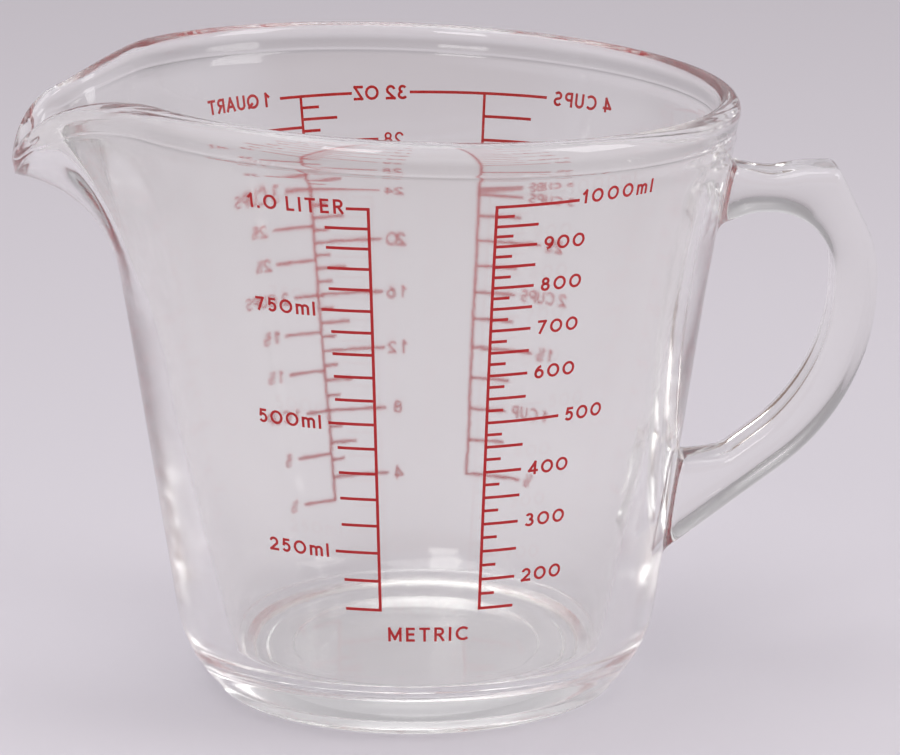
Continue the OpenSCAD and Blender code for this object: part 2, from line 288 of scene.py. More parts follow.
@dataclass(frozen=True)
class PressedGlass:
    """Clear soda-lime glass, pressed in a mould and fire-polished: bright, colourless and a little wavy."""

    tint: str = "#FEFEFC"
    ior: float = 1.5
    roughness: float = 0.055
    wave_mm: float = 14.0
    wave_height_mm: float = 0.05
    ripple_mm: float = 1.5
    ripple_height_mm: float = 0.003
    shadow_tint: str = "#D6D6D9"

    def material(self) -> Material:
        """Make clear glass whose shadow stays pale.

        Returns:
            The material.
        """
        material, tree = new_material("pressed_glass")
        pressed = add_node(tree, "ShaderNodeAttribute", attribute_name=PRESSED_LAYER).outputs["Fac"]
        surface: dict[str, Socket] = {}
        for size, height, strength in (
            (self.wave_mm, self.wave_height_mm, 1.0),
            (self.ripple_mm, self.ripple_height_mm, pressed),
        ):
            relief = {"Distance": height * MM, "Height": add_noise(tree, size), "Strength": strength}
            surface = {"Normal": add_node(tree, "ShaderNodeBump", relief | surface).outputs["Normal"]}
        look = {
            "Base Color": srgb(self.tint),
            "Roughness": self.roughness,
            "IOR": self.ior,
            "Transmission Weight": 1.0,
        }
        glass = add_node(tree, "ShaderNodeBsdfPrincipled", look | surface)
        clear = add_node(tree, "ShaderNodeBsdfTransparent", {"Color": srgb(self.shadow_tint)})
        shadow = add_node(tree, "ShaderNodeLightPath").outputs["Is Shadow Ray"]
        mixed = add_node(tree, "ShaderNodeMixShader", {0: shadow, 1: glass.outputs[0], 2: clear.outputs[0]})
        add_node(tree, "ShaderNodeOutputMaterial", {"Surface": mixed.outputs[0]})
        return material


@dataclass(frozen=True)
class FiredEnamel:
    """Red ceramic ink, screen-printed and fired on: opaque, softly glossy and thin in spots."""

    colour: str = "#BB0B11"
    thin_colour: str = "#C3282A"
    roughness: float = 0.32
    ior: float = 1.5
    cloud_mm: float = 3.0
    cloud_detail: float = 3.0
    thin_span: Point = (0.5, 0.72)
    mesh_mm: float = 0.35
    mesh_detail: float = 1.0
    mesh_height_mm: float = 0.01
    mesh_strength: float = 0.3

    def material(self) -> Material:
        """Make red enamel with slight changes of cover.

        Returns:
            The material.
        """
        material, tree = new_material("fired_red_enamel")
        cover = add_share(tree, add_noise(tree, self.cloud_mm, self.cloud_detail), self.thin_span)
        screen = {
            "Strength": self.mesh_strength,
            "Distance": self.mesh_height_mm * MM,
            "Height": add_noise(tree, self.mesh_mm, self.mesh_detail),
        }
        look = {
            "Base Color": add_blend(tree, cover, srgb(self.colour), srgb(self.thin_colour)),
            "Roughness": self.roughness,
            "IOR": self.ior,
            "Normal": add_node(tree, "ShaderNodeBump", screen).outputs["Normal"],
        }
        enamel = add_node(tree, "ShaderNodeBsdfPrincipled", look)
        add_node(tree, "ShaderNodeOutputMaterial", {"Surface": enamel.outputs[0]})
        return material


@dataclass(frozen=True)
class PaperSweep:
    """Matt lavender-grey paper with painted shade: its colour is a little darker far behind the jug, where
    the light falls off.
    """

    near: str = "#D2CED4"
    # far is the paper's colour with painted shade, standing in for the dimmer light far behind the jug.
    far: str = "#D0CCD1"
    span_mm: Point = (-150.0, 900.0)
    roughness: float = 0.9
    specular: float = 0.1

    def material(self) -> Material:
        """Make matt paper whose colour darkens along Y, as painted shade for the light falling off behind
        the jug.

        Returns:
            The material.
        """
        material, tree = new_material("paper_sweep_painted_shade")
        place = add_node(tree, "ShaderNodeTexCoord").outputs["Object"]
        along = add_node(tree, "ShaderNodeSeparateXYZ", {"Vector": place}).outputs["Y"]
        # Painted shade: the paper's colour darkens along Y over this span.
        share = add_share(tree, along, (self.span_mm[0] * MM, self.span_mm[1] * MM))
        look = {
            "Base Color": add_blend(tree, share, srgb(self.near), srgb(self.far)),
            "Roughness": self.roughness,
            "Specular IOR Level": self.specular,
        }
        paper = add_node(tree, "ShaderNodeBsdfPrincipled", look)
        add_node(tree, "ShaderNodeOutputMaterial", {"Surface": paper.outputs[0]})
        return material


@dataclass(frozen=True)
class WallForm:
    """The wall, a cone that flares a little towards the rim, and the heights that volumes fill inside it.

    The inner face swells inwards towards the floor, as a pressing does. The volumes are those inside a
    wall of one thickness.
    """

    foot_r: float = 49.2
    slope: float = math.radians(8.4)
    thickness: float = 4.5
    floor_z: float = 8.6
    floor_corner_r: float = 8.0
    flare_z: float = 75.0
    flare_end_z: float = 131.0
    flare_out: float = 2.0
    swell_z: float = 124.0
    swell_in: float = 6.0

    @property
    def growth(self) -> float:
        """Growth of the radius with each millimetre of height, under the flare."""
        return math.tan(self.slope)

    @property
    def level_thickness(self) -> float:
        """Thickness of the wall over the swell, measured level."""
        return self.thickness / math.cos(self.slope)

    def flare_share(self, z: float) -> float:
        """Share of the way up the flare at a height."""
        return max(z - self.flare_z, 0.0) / (self.flare_end_z - self.flare_z)

    def lean(self, z: float) -> float:
        """Growth of the outer radius with each millimetre of height, at a height."""
        return self.growth + 2 * self.flare_out * self.flare_share(z) / (self.flare_end_z - self.flare_z)

    def outer_r(self, z: float) -> float:
        """Outer radius at a height."""
        return self.foot_r + self.growth * z + self.flare_out * self.flare_share(z) ** 2

    def swell_share(self, z: float) -> float:
        """Share of the way down the swell at a height."""
        return max(self.swell_z - z, 0.0) / self.swell_z

    def inner_r(self, z: float) -> float:
        """Inner radius at a height."""
        return self.outer_r(z) - self.level_thickness - self.swell_in * self.swell_share(z) ** 2

    def inner_slope(self, z: float) -> float:
        """Angle of the inner face from upright at a height."""
        return math.atan(self.lean(z) + 2 * self.swell_in * self.swell_share(z) / self.swell_z)

    def fill_z(self, millilitres: float) -> float:
        """Find the height that a volume fills, with what the round corner of the floor takes away.

        Args:
            millilitres: The volume.

        Returns:
            The height.
        """
        corner_r = self.outer_r(self.floor_z) - self.level_thickness
        corner_loss = 2 * math.pi * corner_r * (1 - math.pi / 4) * self.floor_corner_r**2
        cube = 3 * self.growth * (MM3_PER_ML * millilitres + corner_loss) / math.pi + corner_r**3
        return (cube ** (1 / 3) - corner_r) / self.growth + self.floor_z


class Zone(Enum):
    """Stretch of the section that a row of the glass belongs to, which says how the row follows the rim."""

    LEVEL = "base, heel and floor"
    OUTER_WALL = "outer wall"
    LIP = "rim band"
    INNER_WALL = "inner wall"


@dataclass(frozen=True)
class Row:
    """One row of the glass round the axis.

    A level row has a radius and a height, a lip row its distance out from the crest and up from the rim's
    plane, and a wall row its share of the way from the foot of the wall to the rim band.
    """

    zone: Zone
    across: float = 0.0
    up: float = 0.0
    share: float = 0.0


@dataclass(frozen=True)
class RimForm:
    """The rim's tilted plane, its band, and the spout that the rim opens into.

    Points in the rim's plane are (u, v, w): u towards the spout, v across it and w up. Leads are the lengths
    of the arms of its curves' control points.
    """

    wall: WallForm
    height: float = 131.0
    slope: float = math.radians(2.5)
    band_h: float = 6.6
    band_out: float = 0.65
    band_shares: Point = (0.3, 0.6)
    crest_in: float = 2.2
    band_round_h: float = 3.3
    mouth_round_h: float = 2.6
    crown_start: float = math.radians(-17)
    crown_steps: int = 10
    mouth_steps: int = 8
    bend_steps: int = 5
    ridge: float = 0.09
    ridge_w: float = 0.2
    root_h: float = 1.0
    spout_half_angle: float = math.radians(36)
    spout_depth: float = 46.0
    spout_reach: float = 14.2
    spout_half_w: float = 16.5
    spout_drop: float = 16.4
    side_drop: float = 6.4
    side_out: float = 7.0
    side_turn: float = 0.05
    side_fall: float = 0.45
    rim_fall: float = 0.05
    tip_share: float = 0.8
    tip_rise: float = 0.15
    tip_lead: float = 9.0
    rim_lead: float = 14.0
    side_lead: float = 6.0
    outer_leads: Point = (17.0, 10.0)
    inner_leads: Point = (19.0, 11.0)
    join_share: float = 0.2
    wall_tries: int = 8

    @property
    def base_r(self) -> float:
        """Radius of the wall at the foot of the band."""
        return self.wall.outer_r(self.height - self.band_h)

    @property
    def top_lean(self) -> float:
        """Growth of the wall's radius with height at the foot of the band."""
        return self.wall.lean(self.height - self.band_h)

    @property
    def crest_r(self) -> float:
        """Radius of the highest line of the rim."""
        return self.base_r - self.crest_in

    @property
    def band_r(self) -> float:
        """Outer radius of the band."""
        return self.base_r + self.band_out

    @property
    def mouth_r(self) -> float:
        """Inner radius of the band, which bends into the slope of the wall as it goes down."""
        return self.base_r - self.wall.level_thickness + self.top_lean * (self.mouth_h / 2 - self.root_h)

    @property
    def mouth_h(self) -> float:
        """Height over which the inside of the band bends into the wall."""
        return -self.wall_top - self.mouth_round_h

    @property
    def shift(self) -> float:
        """How far the middle of the rim lies along X from the axis."""
        return -self.base_r * math.tan(self.slope) * self.top_lean

    @property
    def wall_top(self) -> float:
        """Height over the rim's plane at which the wall passes into the band."""
        return -self.band_h - self.root_h

    @cached_property
    def lip(self) -> list[Point]:
        """Outline of the band from the wall, over the crest, to the inside.

        Returns:
            Its points, as distances out from the crest and up.
        """
        base, band, mouth = (r - self.crest_r for r in (self.base_r, self.band_r, self.mouth_r))
        heights = (self.wall_top, -self.band_h - self.ridge_w)
        below = [(base + (up + self.band_h) * self.top_lean, up) for up in heights]
        round_c, round_radii = (0, -self.band_round_h), (band, self.band_round_h)
        crown = arc(round_c, round_radii, self.crown_start, math.pi / 2, self.crown_steps)
        foot, top = Vector((base, -self.band_h)), Vector(crown[0])
        shares = (self.ridge_w / (top - foot).y, *self.band_shares)
        above = [tuple(foot.lerp(top, share)) for share in shares]
        mouth_c, mouth_radii = (0, -self.mouth_round_h), (-mouth, self.mouth_round_h)
        inside = arc(mouth_c, mouth_radii, math.pi / 2, math.pi, self.mouth_steps)
        bend = []
        for share in even_shares(self.bend_steps, 1):
            down = self.mouth_h * share
            back = self.top_lean * down * down / (2 * self.mouth_h)
            bend.append((mouth - back, -self.mouth_round_h - down))
        return [*below, (base + self.ridge, -self.band_h), *above, *crown, *inside[1:], *bend]

    def to_table(self, p: Vector) -> Vector:
        """Point of the rim's plane in the frame of the jug."""
        c, s = math.cos(self.slope), math.sin(self.slope)
        return Vector((self.shift - p.x * c + p.z * s, -p.y, self.height + p.x * s + p.z * c))

    def wall_point(self, turn: float, w: float, inside: bool) -> Vector:
        """Find where a level ray in the rim's plane meets the wall.

        Args:
            turn: Angle of the ray from the spout.
            w: Height of the ray over the rim's plane.
            inside: Whether the inner wall is meant.

        Returns:
            The point, in the rim's plane.
        """
        radius = self.wall.inner_r if inside else self.wall.outer_r
        r = self.crest_r
        for _ in range(self.wall_tries):
            q = self.to_table(polar(r, turn, w))
            r += radius(q.z) - math.hypot(q.x, q.y)
        return polar(r, turn, w)

    def wall_edge(self, turn: float, w: float, inside: bool) -> Vector:
        """Where a level ray in the rim's plane meets the wall, in the frame of the jug."""
        return self.to_table(self.wall_point(turn, w, inside))

    def crest(self, s: float) -> Vector:
        """Find a point on the crest of the spout.

        Args:
            s: Place round the spout, from 0 at the lip to 1 or -1 at the rim.

        Returns:
            The point, in the rim's plane.
        """
        a = self.spout_half_angle
        rim = polar(self.crest_r, a, 0)
        rim_dir = Vector((math.sin(a), -math.cos(a), -self.rim_fall))
        side = Vector((self.crest_r + self.side_out, self.spout_half_w, -self.side_drop))
        side_dir = Vector((1, -self.side_turn, -self.side_fall))
        tip = Vector((self.crest_r + self.spout_reach, 0, -self.spout_drop))
        if abs(s) < 0.5:
            curve = [side, side + self.side_lead * side_dir, tip + Vector((0, self.tip_lead, 0)), tip]
            p = bezier(curve, 1 - abs(s) * 2)
        else:
            curve = [rim, rim + self.rim_lead * rim_dir, side - self.side_lead * side_dir, side]
            p = bezier(curve, 2 - abs(s) * 2)
        return Vector((p.x, math.copysign(p.y, s), p.z))

    def crest_out(self, s: float) -> Vector:
        """Find the level direction out of the spout, square to its crest.

        Args:
            s: Place round the spout, from -1 to 1.

        Returns:
            The direction, with a length of 1.
        """
        probe = 0.004
        d = self.crest(min(s + probe, 1)) - self.crest(max(s - probe, -1))
        return Vector((d.y, -d.x, 0)).normalized()

    def lip_point(self, s: float, across: float, up: float) -> Vector:
        """Point of the band's outline carried round the spout."""
        k = mix(1, self.tip_share, (1 + math.cos(math.pi * s)) / 2)
        return self.crest(s) + k * across * self.crest_out(s) + Vector((0, 0, k * up))

    def flare(self, s: float, inside: bool) -> list[Vector]:
        """Curve from the wall up to the lip of the spout.

        Args:
            s: Place round the spout, from -1 to 1.
            inside: Whether the inner face is meant.

        Returns:
            Four control points, in the rim's plane.
        """
        turn = s * self.spout_half_angle
        k = (1 + math.cos(math.pi * s)) / 2
        start = self.wall_point(turn, -self.spout_depth, inside)
        foot = (self.mouth_r - self.crest_r, -self.mouth_round_h) if inside else self.lip[0]
        end = self.lip_point(s, *foot)
        lean = self.wall.lean(self.height - self.spout_depth)
        up = polar(lean, turn, 1).normalized()
        out = up.lerp(Vector((1, 0, self.tip_rise)), k).normalized()
        third = (end - start).length / 3
        rise, reach = self.inner_leads if inside else self.outer_leads
        return [start, start + mix(third, rise, k) * up, end - mix(third, reach, k) * out, end]


@dataclass(frozen=True)
class Station:
    """A place along the handle's bar: its middle, the angle out of the loop, and what is added each side."""

    x: float
    z: float
    angle: float
    outside: float = 0.0
    inside: float = 0.0


@dataclass(frozen=True)
class HandleForm:
    """The bar of the handle: upper arm with a thumb stop, bend, wide sweep and lower arm with a web."""

    wall: WallForm
    height: float = 106.8
    grip_x: float = 94.0
    bar_t: float = 9.2
    bar_d: float = 15.0
    edge_r: float = 1.7
    crown: float = 0.7
    dip: float = 0.9
    dip_x: float = 76.5
    dip_half_l: float = 8.0
    arch_x: float = 73.5
    arch: float = 0.045
    rise_x: float = 70.5
    rise: float = 0.144
    bend_r: float = 18.5
    grip_l: float = 1.7
    sweep_r: float = 45.5
    slope: float = math.radians(36)
    thumb_l: float = 14.5
    thumb_angle: float = math.radians(25)
    thumb_blend: float = 0.9
    web_l: float = 9.0
    web_lead: float = 2.0
    web_round: float = 4.0
    fillet: float = 2.2
    root_clear: float = 0.4
    longest_arm: float = 40.0
    longest_root: float = 60.0
    fillet_steps: int = 5
    top_steps: int = 6
    bend_steps: int = 36
    sweep_steps: int = 18
    arm_steps: int = 9
    face_edges: int = 12
    side_edges: int = 8

    @property
    def bend_c(self) -> Point:
        """Centre of the upper bend."""
        return self.grip_x - self.bend_r, self.height - self.bend_r

    @property
    def bend_out_r(self) -> float:
        """Radius of the outside of the bar at the upper bend, without the thumb stop."""
        return self.bend_r + self.bar_t / 2

    @property
    def sweep_c(self) -> Point:
        """Centre of the wide sweep."""
        return self.grip_x - self.sweep_r, self.bend_c[1] - self.grip_l

    @property
    def arm_angle(self) -> float:
        """Angle out of the loop along the lower arm."""
        return self.slope - math.pi / 2

    def thumb_reach(self, a: float) -> float:
        """Find how far the outside of the bar is from the centre of the bend, with the thumb stop.

        Args:
            a: Angle out of the loop.

        Returns:
            The distance.
        """
        out_r = self.bend_out_r
        if a < self.thumb_angle:
            return out_r
        top = out_r / math.sin(a)
        corner = Vector((self.thumb_l, out_r))
        side = Vector((math.cos(self.thumb_angle), math.sin(self.thumb_angle))) * out_r - corner
        ray = Vector((math.cos(a), math.sin(a)))
        across = corner.x * side.y - corner.y * side.x
        front = across / (ray.x * side.y - ray.y * side.x)
        return max(soft_min(top, front, self.thumb_blend), out_r)

    def round_station(self, centre: Point, radius: float, a: float, outside: float = 0.0) -> Station:
        """Place on a round stretch of the bar."""
        return Station(centre[0] + radius * math.cos(a), centre[1] + radius * math.sin(a), a, outside)

    def stations(self) -> list[Station]:
        """Lay out the bar from the upper root to the lower arm.

        Returns:
            Places along it.
        """
        start_x = self.wall.outer_r(self.height + self.bar_t / 2) + self.fillet + self.root_clear
        found = []
        for i in range(self.top_steps):
            x = mix(start_x, self.bend_c[0], i / self.top_steps)
            rise = self.rise * max(self.rise_x - x, 0) ** 2
            arch = self.arch * max(self.arch_x - x, 0) ** 2
            found.append(Station(x, self.height, math.pi / 2, rise, arch))
        for share in even_shares(self.bend_steps):
            a = mix(math.pi / 2, 0.0, share)
            stop = self.thumb_reach(a) - self.bend_out_r
            found.append(self.round_station(self.bend_c, self.bend_r, a, stop))
        for share in even_shares(self.sweep_steps):
            found.append(self.round_station(self.sweep_c, self.sweep_r, self.arm_angle * share))
        return found

    def arm_station(self, run: float) -> Station:
        """Find a place on the lower arm, with the web that fills its corner with the wall.

        Args:
            run: Length along the arm from the end of the sweep.

        Returns:
            The place.
        """
        end = self.round_station(self.sweep_c, self.sweep_r, self.arm_angle)
        inner_x = end.x - self.bar_t / 2 * math.cos(self.arm_angle)
        plain = (inner_x - self.wall.outer_r(end.z) - self.web_l) / math.cos(self.slope)
        past = max(run - plain + self.web_lead, 0.0)
        web = math.tan(self.slope) * past * past / (past + self.web_round)
        x, z = end.x - run * math.cos(self.slope), end.z - run * math.sin(self.slope)
        return Station(x, z, self.arm_angle, 0.0, web)

    def arm(self) -> list[Ring]:
        """Draw the lower arm, each edge of which stops at the same distance from the wall.

        Returns:
            Its rings.
        """

        def point(spoke: int, run: float) -> Vector:
            """Point of one edge of the arm."""
            return self.ring(self.arm_station(run))[spoke]

        def run_of(spoke: int) -> float:
            """Length at which one edge of the arm stops."""
            return last_holding(lambda run: self.clears(point(spoke, run), self.fillet), self.longest_arm)

        runs = [run_of(spoke) for spoke in range(2 * (self.face_edges + self.side_edges))]
        shares = even_shares(self.arm_steps, 1)
        return [[point(spoke, run * share) for spoke, run in enumerate(runs)] for share in shares]

    @staticmethod
    def edge_point(q: float, half_flat: float, reach: float, radius: float) -> Point:
        """Point on one side of a rounded rectangle.

        Args:
            q: Share of the way from the middle of one corner to the middle of the next.
            half_flat: Half of the straight part of the side.
            reach: Distance of the side from the middle.
            radius: Radius of the corners.

        Returns:
            Its distance along the side from the middle of it, and its distance out.
        """
        half = half_flat + radius * math.pi / 4
        d = (2 * q - 1) * half
        if abs(d) <= half_flat:
            return d, reach
        turn = (abs(d) - half_flat) / radius
        return math.copysign(half_flat + radius * math.sin(turn), d), reach - radius * (1 - math.cos(turn))

    def ring(self, station: Station) -> Ring:
        """Draw the section of the bar at one place.

        Args:
            station: The place.

        Returns:
            Points round the outer face, a side, the inner face and the other side.
        """
        outer = self.bar_t / 2 + station.outside
        c, s = math.cos(station.angle), math.sin(station.angle)
        along_dip = (station.x + outer * c - self.dip_x) / self.dip_half_l
        if s > 0 and abs(along_dip) < 1:
            outer -= self.dip * (1 + math.cos(math.pi * along_dip)) / 2
        inner = self.bar_t / 2 + station.inside
        half_d, half_t, middle = self.bar_d / 2 - self.crown, (outer + inner) / 2, (outer - inner) / 2
        flat_d, flat_t = half_d - self.edge_r, half_t - self.edge_r
        section: list[Point] = []
        for turn, edges in enumerate((self.face_edges, self.side_edges) * 2):
            flat, reach = (flat_d, half_t) if turn % 2 == 0 else (flat_t, half_d)
            for i in range(edges):
                along, out = self.edge_point(i / edges, flat, reach, self.edge_r)
                if turn % 2:
                    out += self.crown * (1 - (along / half_t) ** 2)
                section.append([(out, along), (-along, out), (-out, -along), (along, -out)][turn])
        return [Vector((station.x + (middle + e) * c, y, station.z + (middle + e) * s)) for e, y in section]

    def clears(self, p: Vector, gap: float = 0.0) -> bool:
        """Whether a point lies more than a gap outside the wall."""
        return math.hypot(p.x, p.y) > self.wall.outer_r(p.z) + gap

    def root_rings(self, seat: Ring, near: Ring, behind: Ring) -> list[Ring]:
        """Rings of the fillet between the wall and the bar.

        Args:
            seat: Points of the opening in the wall.
            near: Ring of the bar next to the wall.
            behind: The ring behind that one.

        Returns:
            Rings from the wall outwards, without the seat itself.
        """
        rings: list[Ring] = [[] for _ in range(self.fillet_steps)]
        for foot, p, q in zip(seat, near, behind, strict=True):
            heading = (p - q).normalized()
            run = last_holding(lambda d, p=p, h=heading: self.clears(p + d * h), self.longest_root)
            corner = p + run * heading
            top = corner - self.fillet * heading
            for t, ring in zip(even_shares(self.fillet_steps, 1), rings, strict=True):
                ring.append((1 - t) ** 2 * foot + 2 * t * (1 - t) * corner + t * t * top)
        return rings


@dataclass(frozen=True)
class Column:
    """One column of the glass: its angle, its place round the spout, and where its outer and inner wall end.

    The walls are keyed by whether the inner one is meant: tops are at the rim band, knees where the spout's
    flare starts, and flares are its curves.
    """

    angle: float
    spout: float
    tops: dict[bool, Vector]
    knees: dict[bool, Vector] = field(default_factory=dict)
    flares: dict[bool, list[Vector]] = field(default_factory=dict)


@dataclass
class GlassJug:
    """The one pressing of glass: foot, heel, wall, rim band, spout and handle in a single closed skin."""

    wall: WallForm
    columns: int = 240
    root_columns: int = 6
    root_rows: int = 8
    low_rows: int = 4
    middle_rows: int = 16
    top_rows: int = 5
    inner_rows: int = 32
    corner_rows: int = 12
    heel_rows: int = 14
    floor_radii: tuple[float, ...] = (30.0, 24.0, 16.0, 8.0, 0.0)
    polished_share: float = 0.15
    weld: float = 0.001
    heel_z: float = 17.0
    heel_r: float = 28.0
    foot_h: float = 3.4
    foot_r: float = 43.1
    foot_step: float = 0.7
    foot_flat_w: float = 4.4
    foot_edge_r: float = 0.6
    step_edge_r: float = 0.3
    hollow_h: float = 1.6
    hollow_edge_w: float = 0.7
    hollow_edge_r: float = 0.4
    disc_r: float = 33.0
    disc_h: float = 0.5
    disc_edge_r: float = 0.25
    ring_r: float = 27.0
    ring_h: float = 0.2
    ring_edge_r: float = 0.15
    lower_root: Point = (27.6, 51.0)
    upper_root: Point = (97.6, 114.6)

    def __post_init__(self) -> None:
        """Work out the forms that the section and the handle share."""
        self.rim = RimForm(self.wall)
        self.handle = HandleForm(self.wall)
        self.knee_shares = {inside: self.knee_share(inside) for inside in (False, True)}

    @property
    def corner_z(self) -> float:
        """Height of the centre of the round corner between the floor and the wall."""
        return self.wall.floor_z + self.wall.floor_corner_r

    @property
    def corner_slope(self) -> float:
        """Angle of the inner face from upright at the centre of that corner."""
        return self.wall.inner_slope(self.corner_z)

    def wall_foot_z(self, inside: bool) -> float:
        """Height at which the wall starts."""
        drop = self.wall.floor_corner_r * math.sin(self.corner_slope)
        return self.corner_z - drop if inside else self.heel_z

    def base_outline(self) -> list[Point]:
        """Draw the outline of the underside, the foot ring and the heel.

        Returns:
            Its points, from the axis out.
        """
        slope = self.wall.slope
        heel_x = self.wall.outer_r(self.heel_z) - self.heel_r * math.cos(slope)
        heel_c = (heel_x, self.heel_z + self.heel_r * math.sin(slope))
        heel_end = math.asin((heel_c[1] - self.foot_h) / self.heel_r)
        heel = arc(heel_c, (self.heel_r, self.heel_r), -heel_end, -slope, self.heel_rows)
        hollow_r = self.foot_r - self.foot_edge_r - self.foot_flat_w
        low = self.hollow_h - self.disc_h
        corners = {
            (self.ring_r, low + self.ring_h): self.ring_edge_r,
            (self.ring_r + self.ring_h, low): self.ring_edge_r,
            (self.disc_r, low): self.disc_edge_r,
            (self.disc_r + self.disc_h, self.hollow_h): self.disc_edge_r,
            (hollow_r - self.hollow_edge_w, self.hollow_h): self.hollow_edge_r,
            (hollow_r, 0): self.step_edge_r,
            (self.foot_r, 0): self.foot_edge_r,
            (heel[0][0] - self.foot_step, self.foot_h): self.step_edge_r,
            heel[0]: self.step_edge_r,
        }
        base = soften([(0, low + self.ring_h), *corners, heel[1]], list(corners.values()))
        return base[:-1] + heel[1:]

    @cached_property
    def root_starts(self) -> tuple[int, int]:
        """Numbers of the lowest rows of the two openings for the handle."""
        lower = len(self.base_outline()) - 1 + self.low_rows
        return lower, lower + self.root_rows + self.middle_rows

    def section(self) -> list[Row]:
        """Draw the section of the skin.

        Returns:
            Its rows from the middle of the underside, over the rim, to the middle of the floor.
        """
        rows = [Row(Zone.LEVEL, r, z) for r, z in self.base_outline()]
        top_z = self.rim.wall_edge(math.pi, self.rim.wall_top, inside=False).z
        levels = (self.heel_z, *self.lower_root, *self.upper_root, top_z)
        counts = (self.low_rows, self.root_rows, self.middle_rows, self.root_rows, self.top_rows)
        for low, high, count in zip(levels, levels[1:], counts, strict=False):
            for share in even_shares(count, 1):
                z = mix(low, high, share)
                rows.append(Row(Zone.OUTER_WALL, share=(z - self.heel_z) / (top_z - self.heel_z)))
        rows[-1:] = [Row(Zone.LIP, across, up) for across, up in self.rim.lip]
        rows += [Row(Zone.INNER_WALL, share=1 - i / self.inner_rows) for i in range(1, self.inner_rows)]
        radius = self.wall.floor_corner_r
        corner_c = (self.wall.inner_r(self.corner_z) - radius / math.cos(self.corner_slope), self.corner_z)
        corner = arc(corner_c, (radius, radius), -self.corner_slope, -math.pi / 2, self.corner_rows)
        floor = [(r, self.wall.floor_z) for r in self.floor_radii]
        return rows + [Row(Zone.LEVEL, r, z) for r, z in corner + floor]

    def on_wall(self, angle: float, share: float, top: Vector, inside: bool) -> Vector:
        """Point on the wall under a point of its top edge.

        Args:
            angle: Angle round the axis at the foot of the wall.
            share: Share of the way up.
            top: Point at which the column ends.
            inside: Whether the inner wall is meant.

        Returns:
            The point.
        """
        z = mix(self.wall_foot_z(inside), top.z, share)
        drift = math.remainder(math.atan2(top.y, top.x) - angle, math.tau)
        turn = angle + share * drift
        r = self.wall.inner_r(z) if inside else self.wall.outer_r(z)
        return polar(r, turn, z)

    def column(self, number: int) -> Column:
        """Work out what the rows of one column share.

        Args:
            number: Number of the column, from 0 at the handle.

        Returns:
            The column.
        """
        rim, sides = self.rim, (False, True)
        angle = math.tau * number / self.columns
        turn = math.remainder(angle - math.pi, math.tau)
        s = turn / rim.spout_half_angle
        tops = {inside: rim.wall_edge(turn, rim.wall_top, inside) for inside in sides}
        if abs(s) >= 1:
            return Column(angle, s, tops)
        knees = {inside: rim.wall_edge(turn, -rim.spout_depth, inside) for inside in sides}
        return Column(angle, s, tops, knees, {inside: rim.flare(s, inside) for inside in sides})

    def knee_share(self, inside: bool) -> float:
        """Find how much of the wall's height is below the spout's flare, at the edge of the spout.

        Args:
            inside: Whether the inner wall is meant.

        Returns:
            The share of the height.
        """
        rim, foot_z = self.rim, self.wall_foot_z(inside)
        heights = (rim.wall_top, -rim.spout_depth)
        top, knee = (rim.wall_edge(rim.spout_half_angle, w, inside).z for w in heights)
        return (knee - foot_z) / (top - foot_z)

    def plain_point(self, row: Row, column: Column) -> Vector:
        """Find where a row crosses a column away from the spout.

        Args:
            row: The row.
            column: The column.

        Returns:
            The point.
        """
        if row.zone is Zone.LIP:
            r = self.rim.crest_r + row.across
            return self.rim.to_table(polar(r, column.angle - math.pi, row.up))
        inside = row.zone is Zone.INNER_WALL
        return self.on_wall(column.angle, row.share, column.tops[inside], inside)

    def spout_point(self, row: Row, column: Column) -> Vector:
        """Find where a row crosses a column in the spout.

        Args:
            row: The row.
            column: The column.

        Returns:
            The point.
        """
        rim = self.rim
        flare_h = rim.spout_depth - rim.mouth_round_h
        if row.zone is Zone.LIP:
            if row.across < 0 and row.up < -rim.mouth_round_h:
                return rim.to_table(bezier(column.flares[True], (rim.spout_depth + row.up) / flare_h))
            return rim.to_table(rim.lip_point(column.spout, row.across, row.up))
        inside = row.zone is Zone.INNER_WALL
        knee = self.knee_shares[inside]
        if row.share <= knee:
            return self.on_wall(column.angle, row.share / knee, column.knees[inside], inside)
        t = (row.share - knee) / (1 - knee)
        if inside:
            t *= (rim.spout_depth + rim.wall_top) / flare_h
        return rim.to_table(bezier(column.flares[inside], t))

    def place(self, row: Row, column: Column) -> Vector:
        """Find where a row crosses a column.

        Args:
            row: The row.
            column: The column.

        Returns:
            The point, blended at the edges of the spout.
        """
        if row.zone is Zone.LEVEL:
            return polar(row.across, column.angle, row.up)
        plain = self.plain_point(row, column)
        s = abs(column.spout)
        if s >= 1:
            return plain
        join = self.rim.join_share
        return self.spout_point(row, column).lerp(plain, ease((s - 1 + join) / join))

    def spin_skin(self, bm: Mesh) -> Grid:
        """Spin the section round the axis and fit each row to the rim and the spout.

        Args:
            bm: Empty mesh that takes the skin.

        Returns:
            The vertices by row and column; column 0 faces the handle.
        """
        row_id = bm.verts.layers.int.new("row")
        pressed = bm.verts.layers.float.new(PRESSED_LAYER)
        rows = self.section()
        columns = [self.column(i) for i in range(self.columns)]
        profile = []
        for i, row in enumerate(rows):
            vert = bm.verts.new(self.place(row, columns[0]))
            vert[row_id] = i
            profile.append(vert)
        edges = [bm.edges.new(pair) for pair in zip(profile, profile[1:])]
        bmesh.ops.spin(
            bm,
            geom=profile + edges,
            cent=(0, 0, 0),
            axis=(0, 0, 1),
            dvec=(0, 0, 0),
            angle=math.tau,
            steps=self.columns,
            use_merge=True,
        )
        poles = [v for v in bm.verts if math.hypot(v.co.x, v.co.y) < self.weld]
        bmesh.ops.remove_doubles(bm, verts=poles, dist=self.weld)
        grid = {}
        for vert in bm.verts:
            number = round(math.atan2(vert.co.y, vert.co.x) / math.tau * self.columns) % self.columns
            row = rows[vert[row_id]]
            grid[vert[row_id], number] = vert
            vert.co = self.place(row, columns[number])
            if row.zone in (Zone.OUTER_WALL, Zone.INNER_WALL):
                vert[pressed] = ease((1 - row.share) / self.polished_share)
        return grid

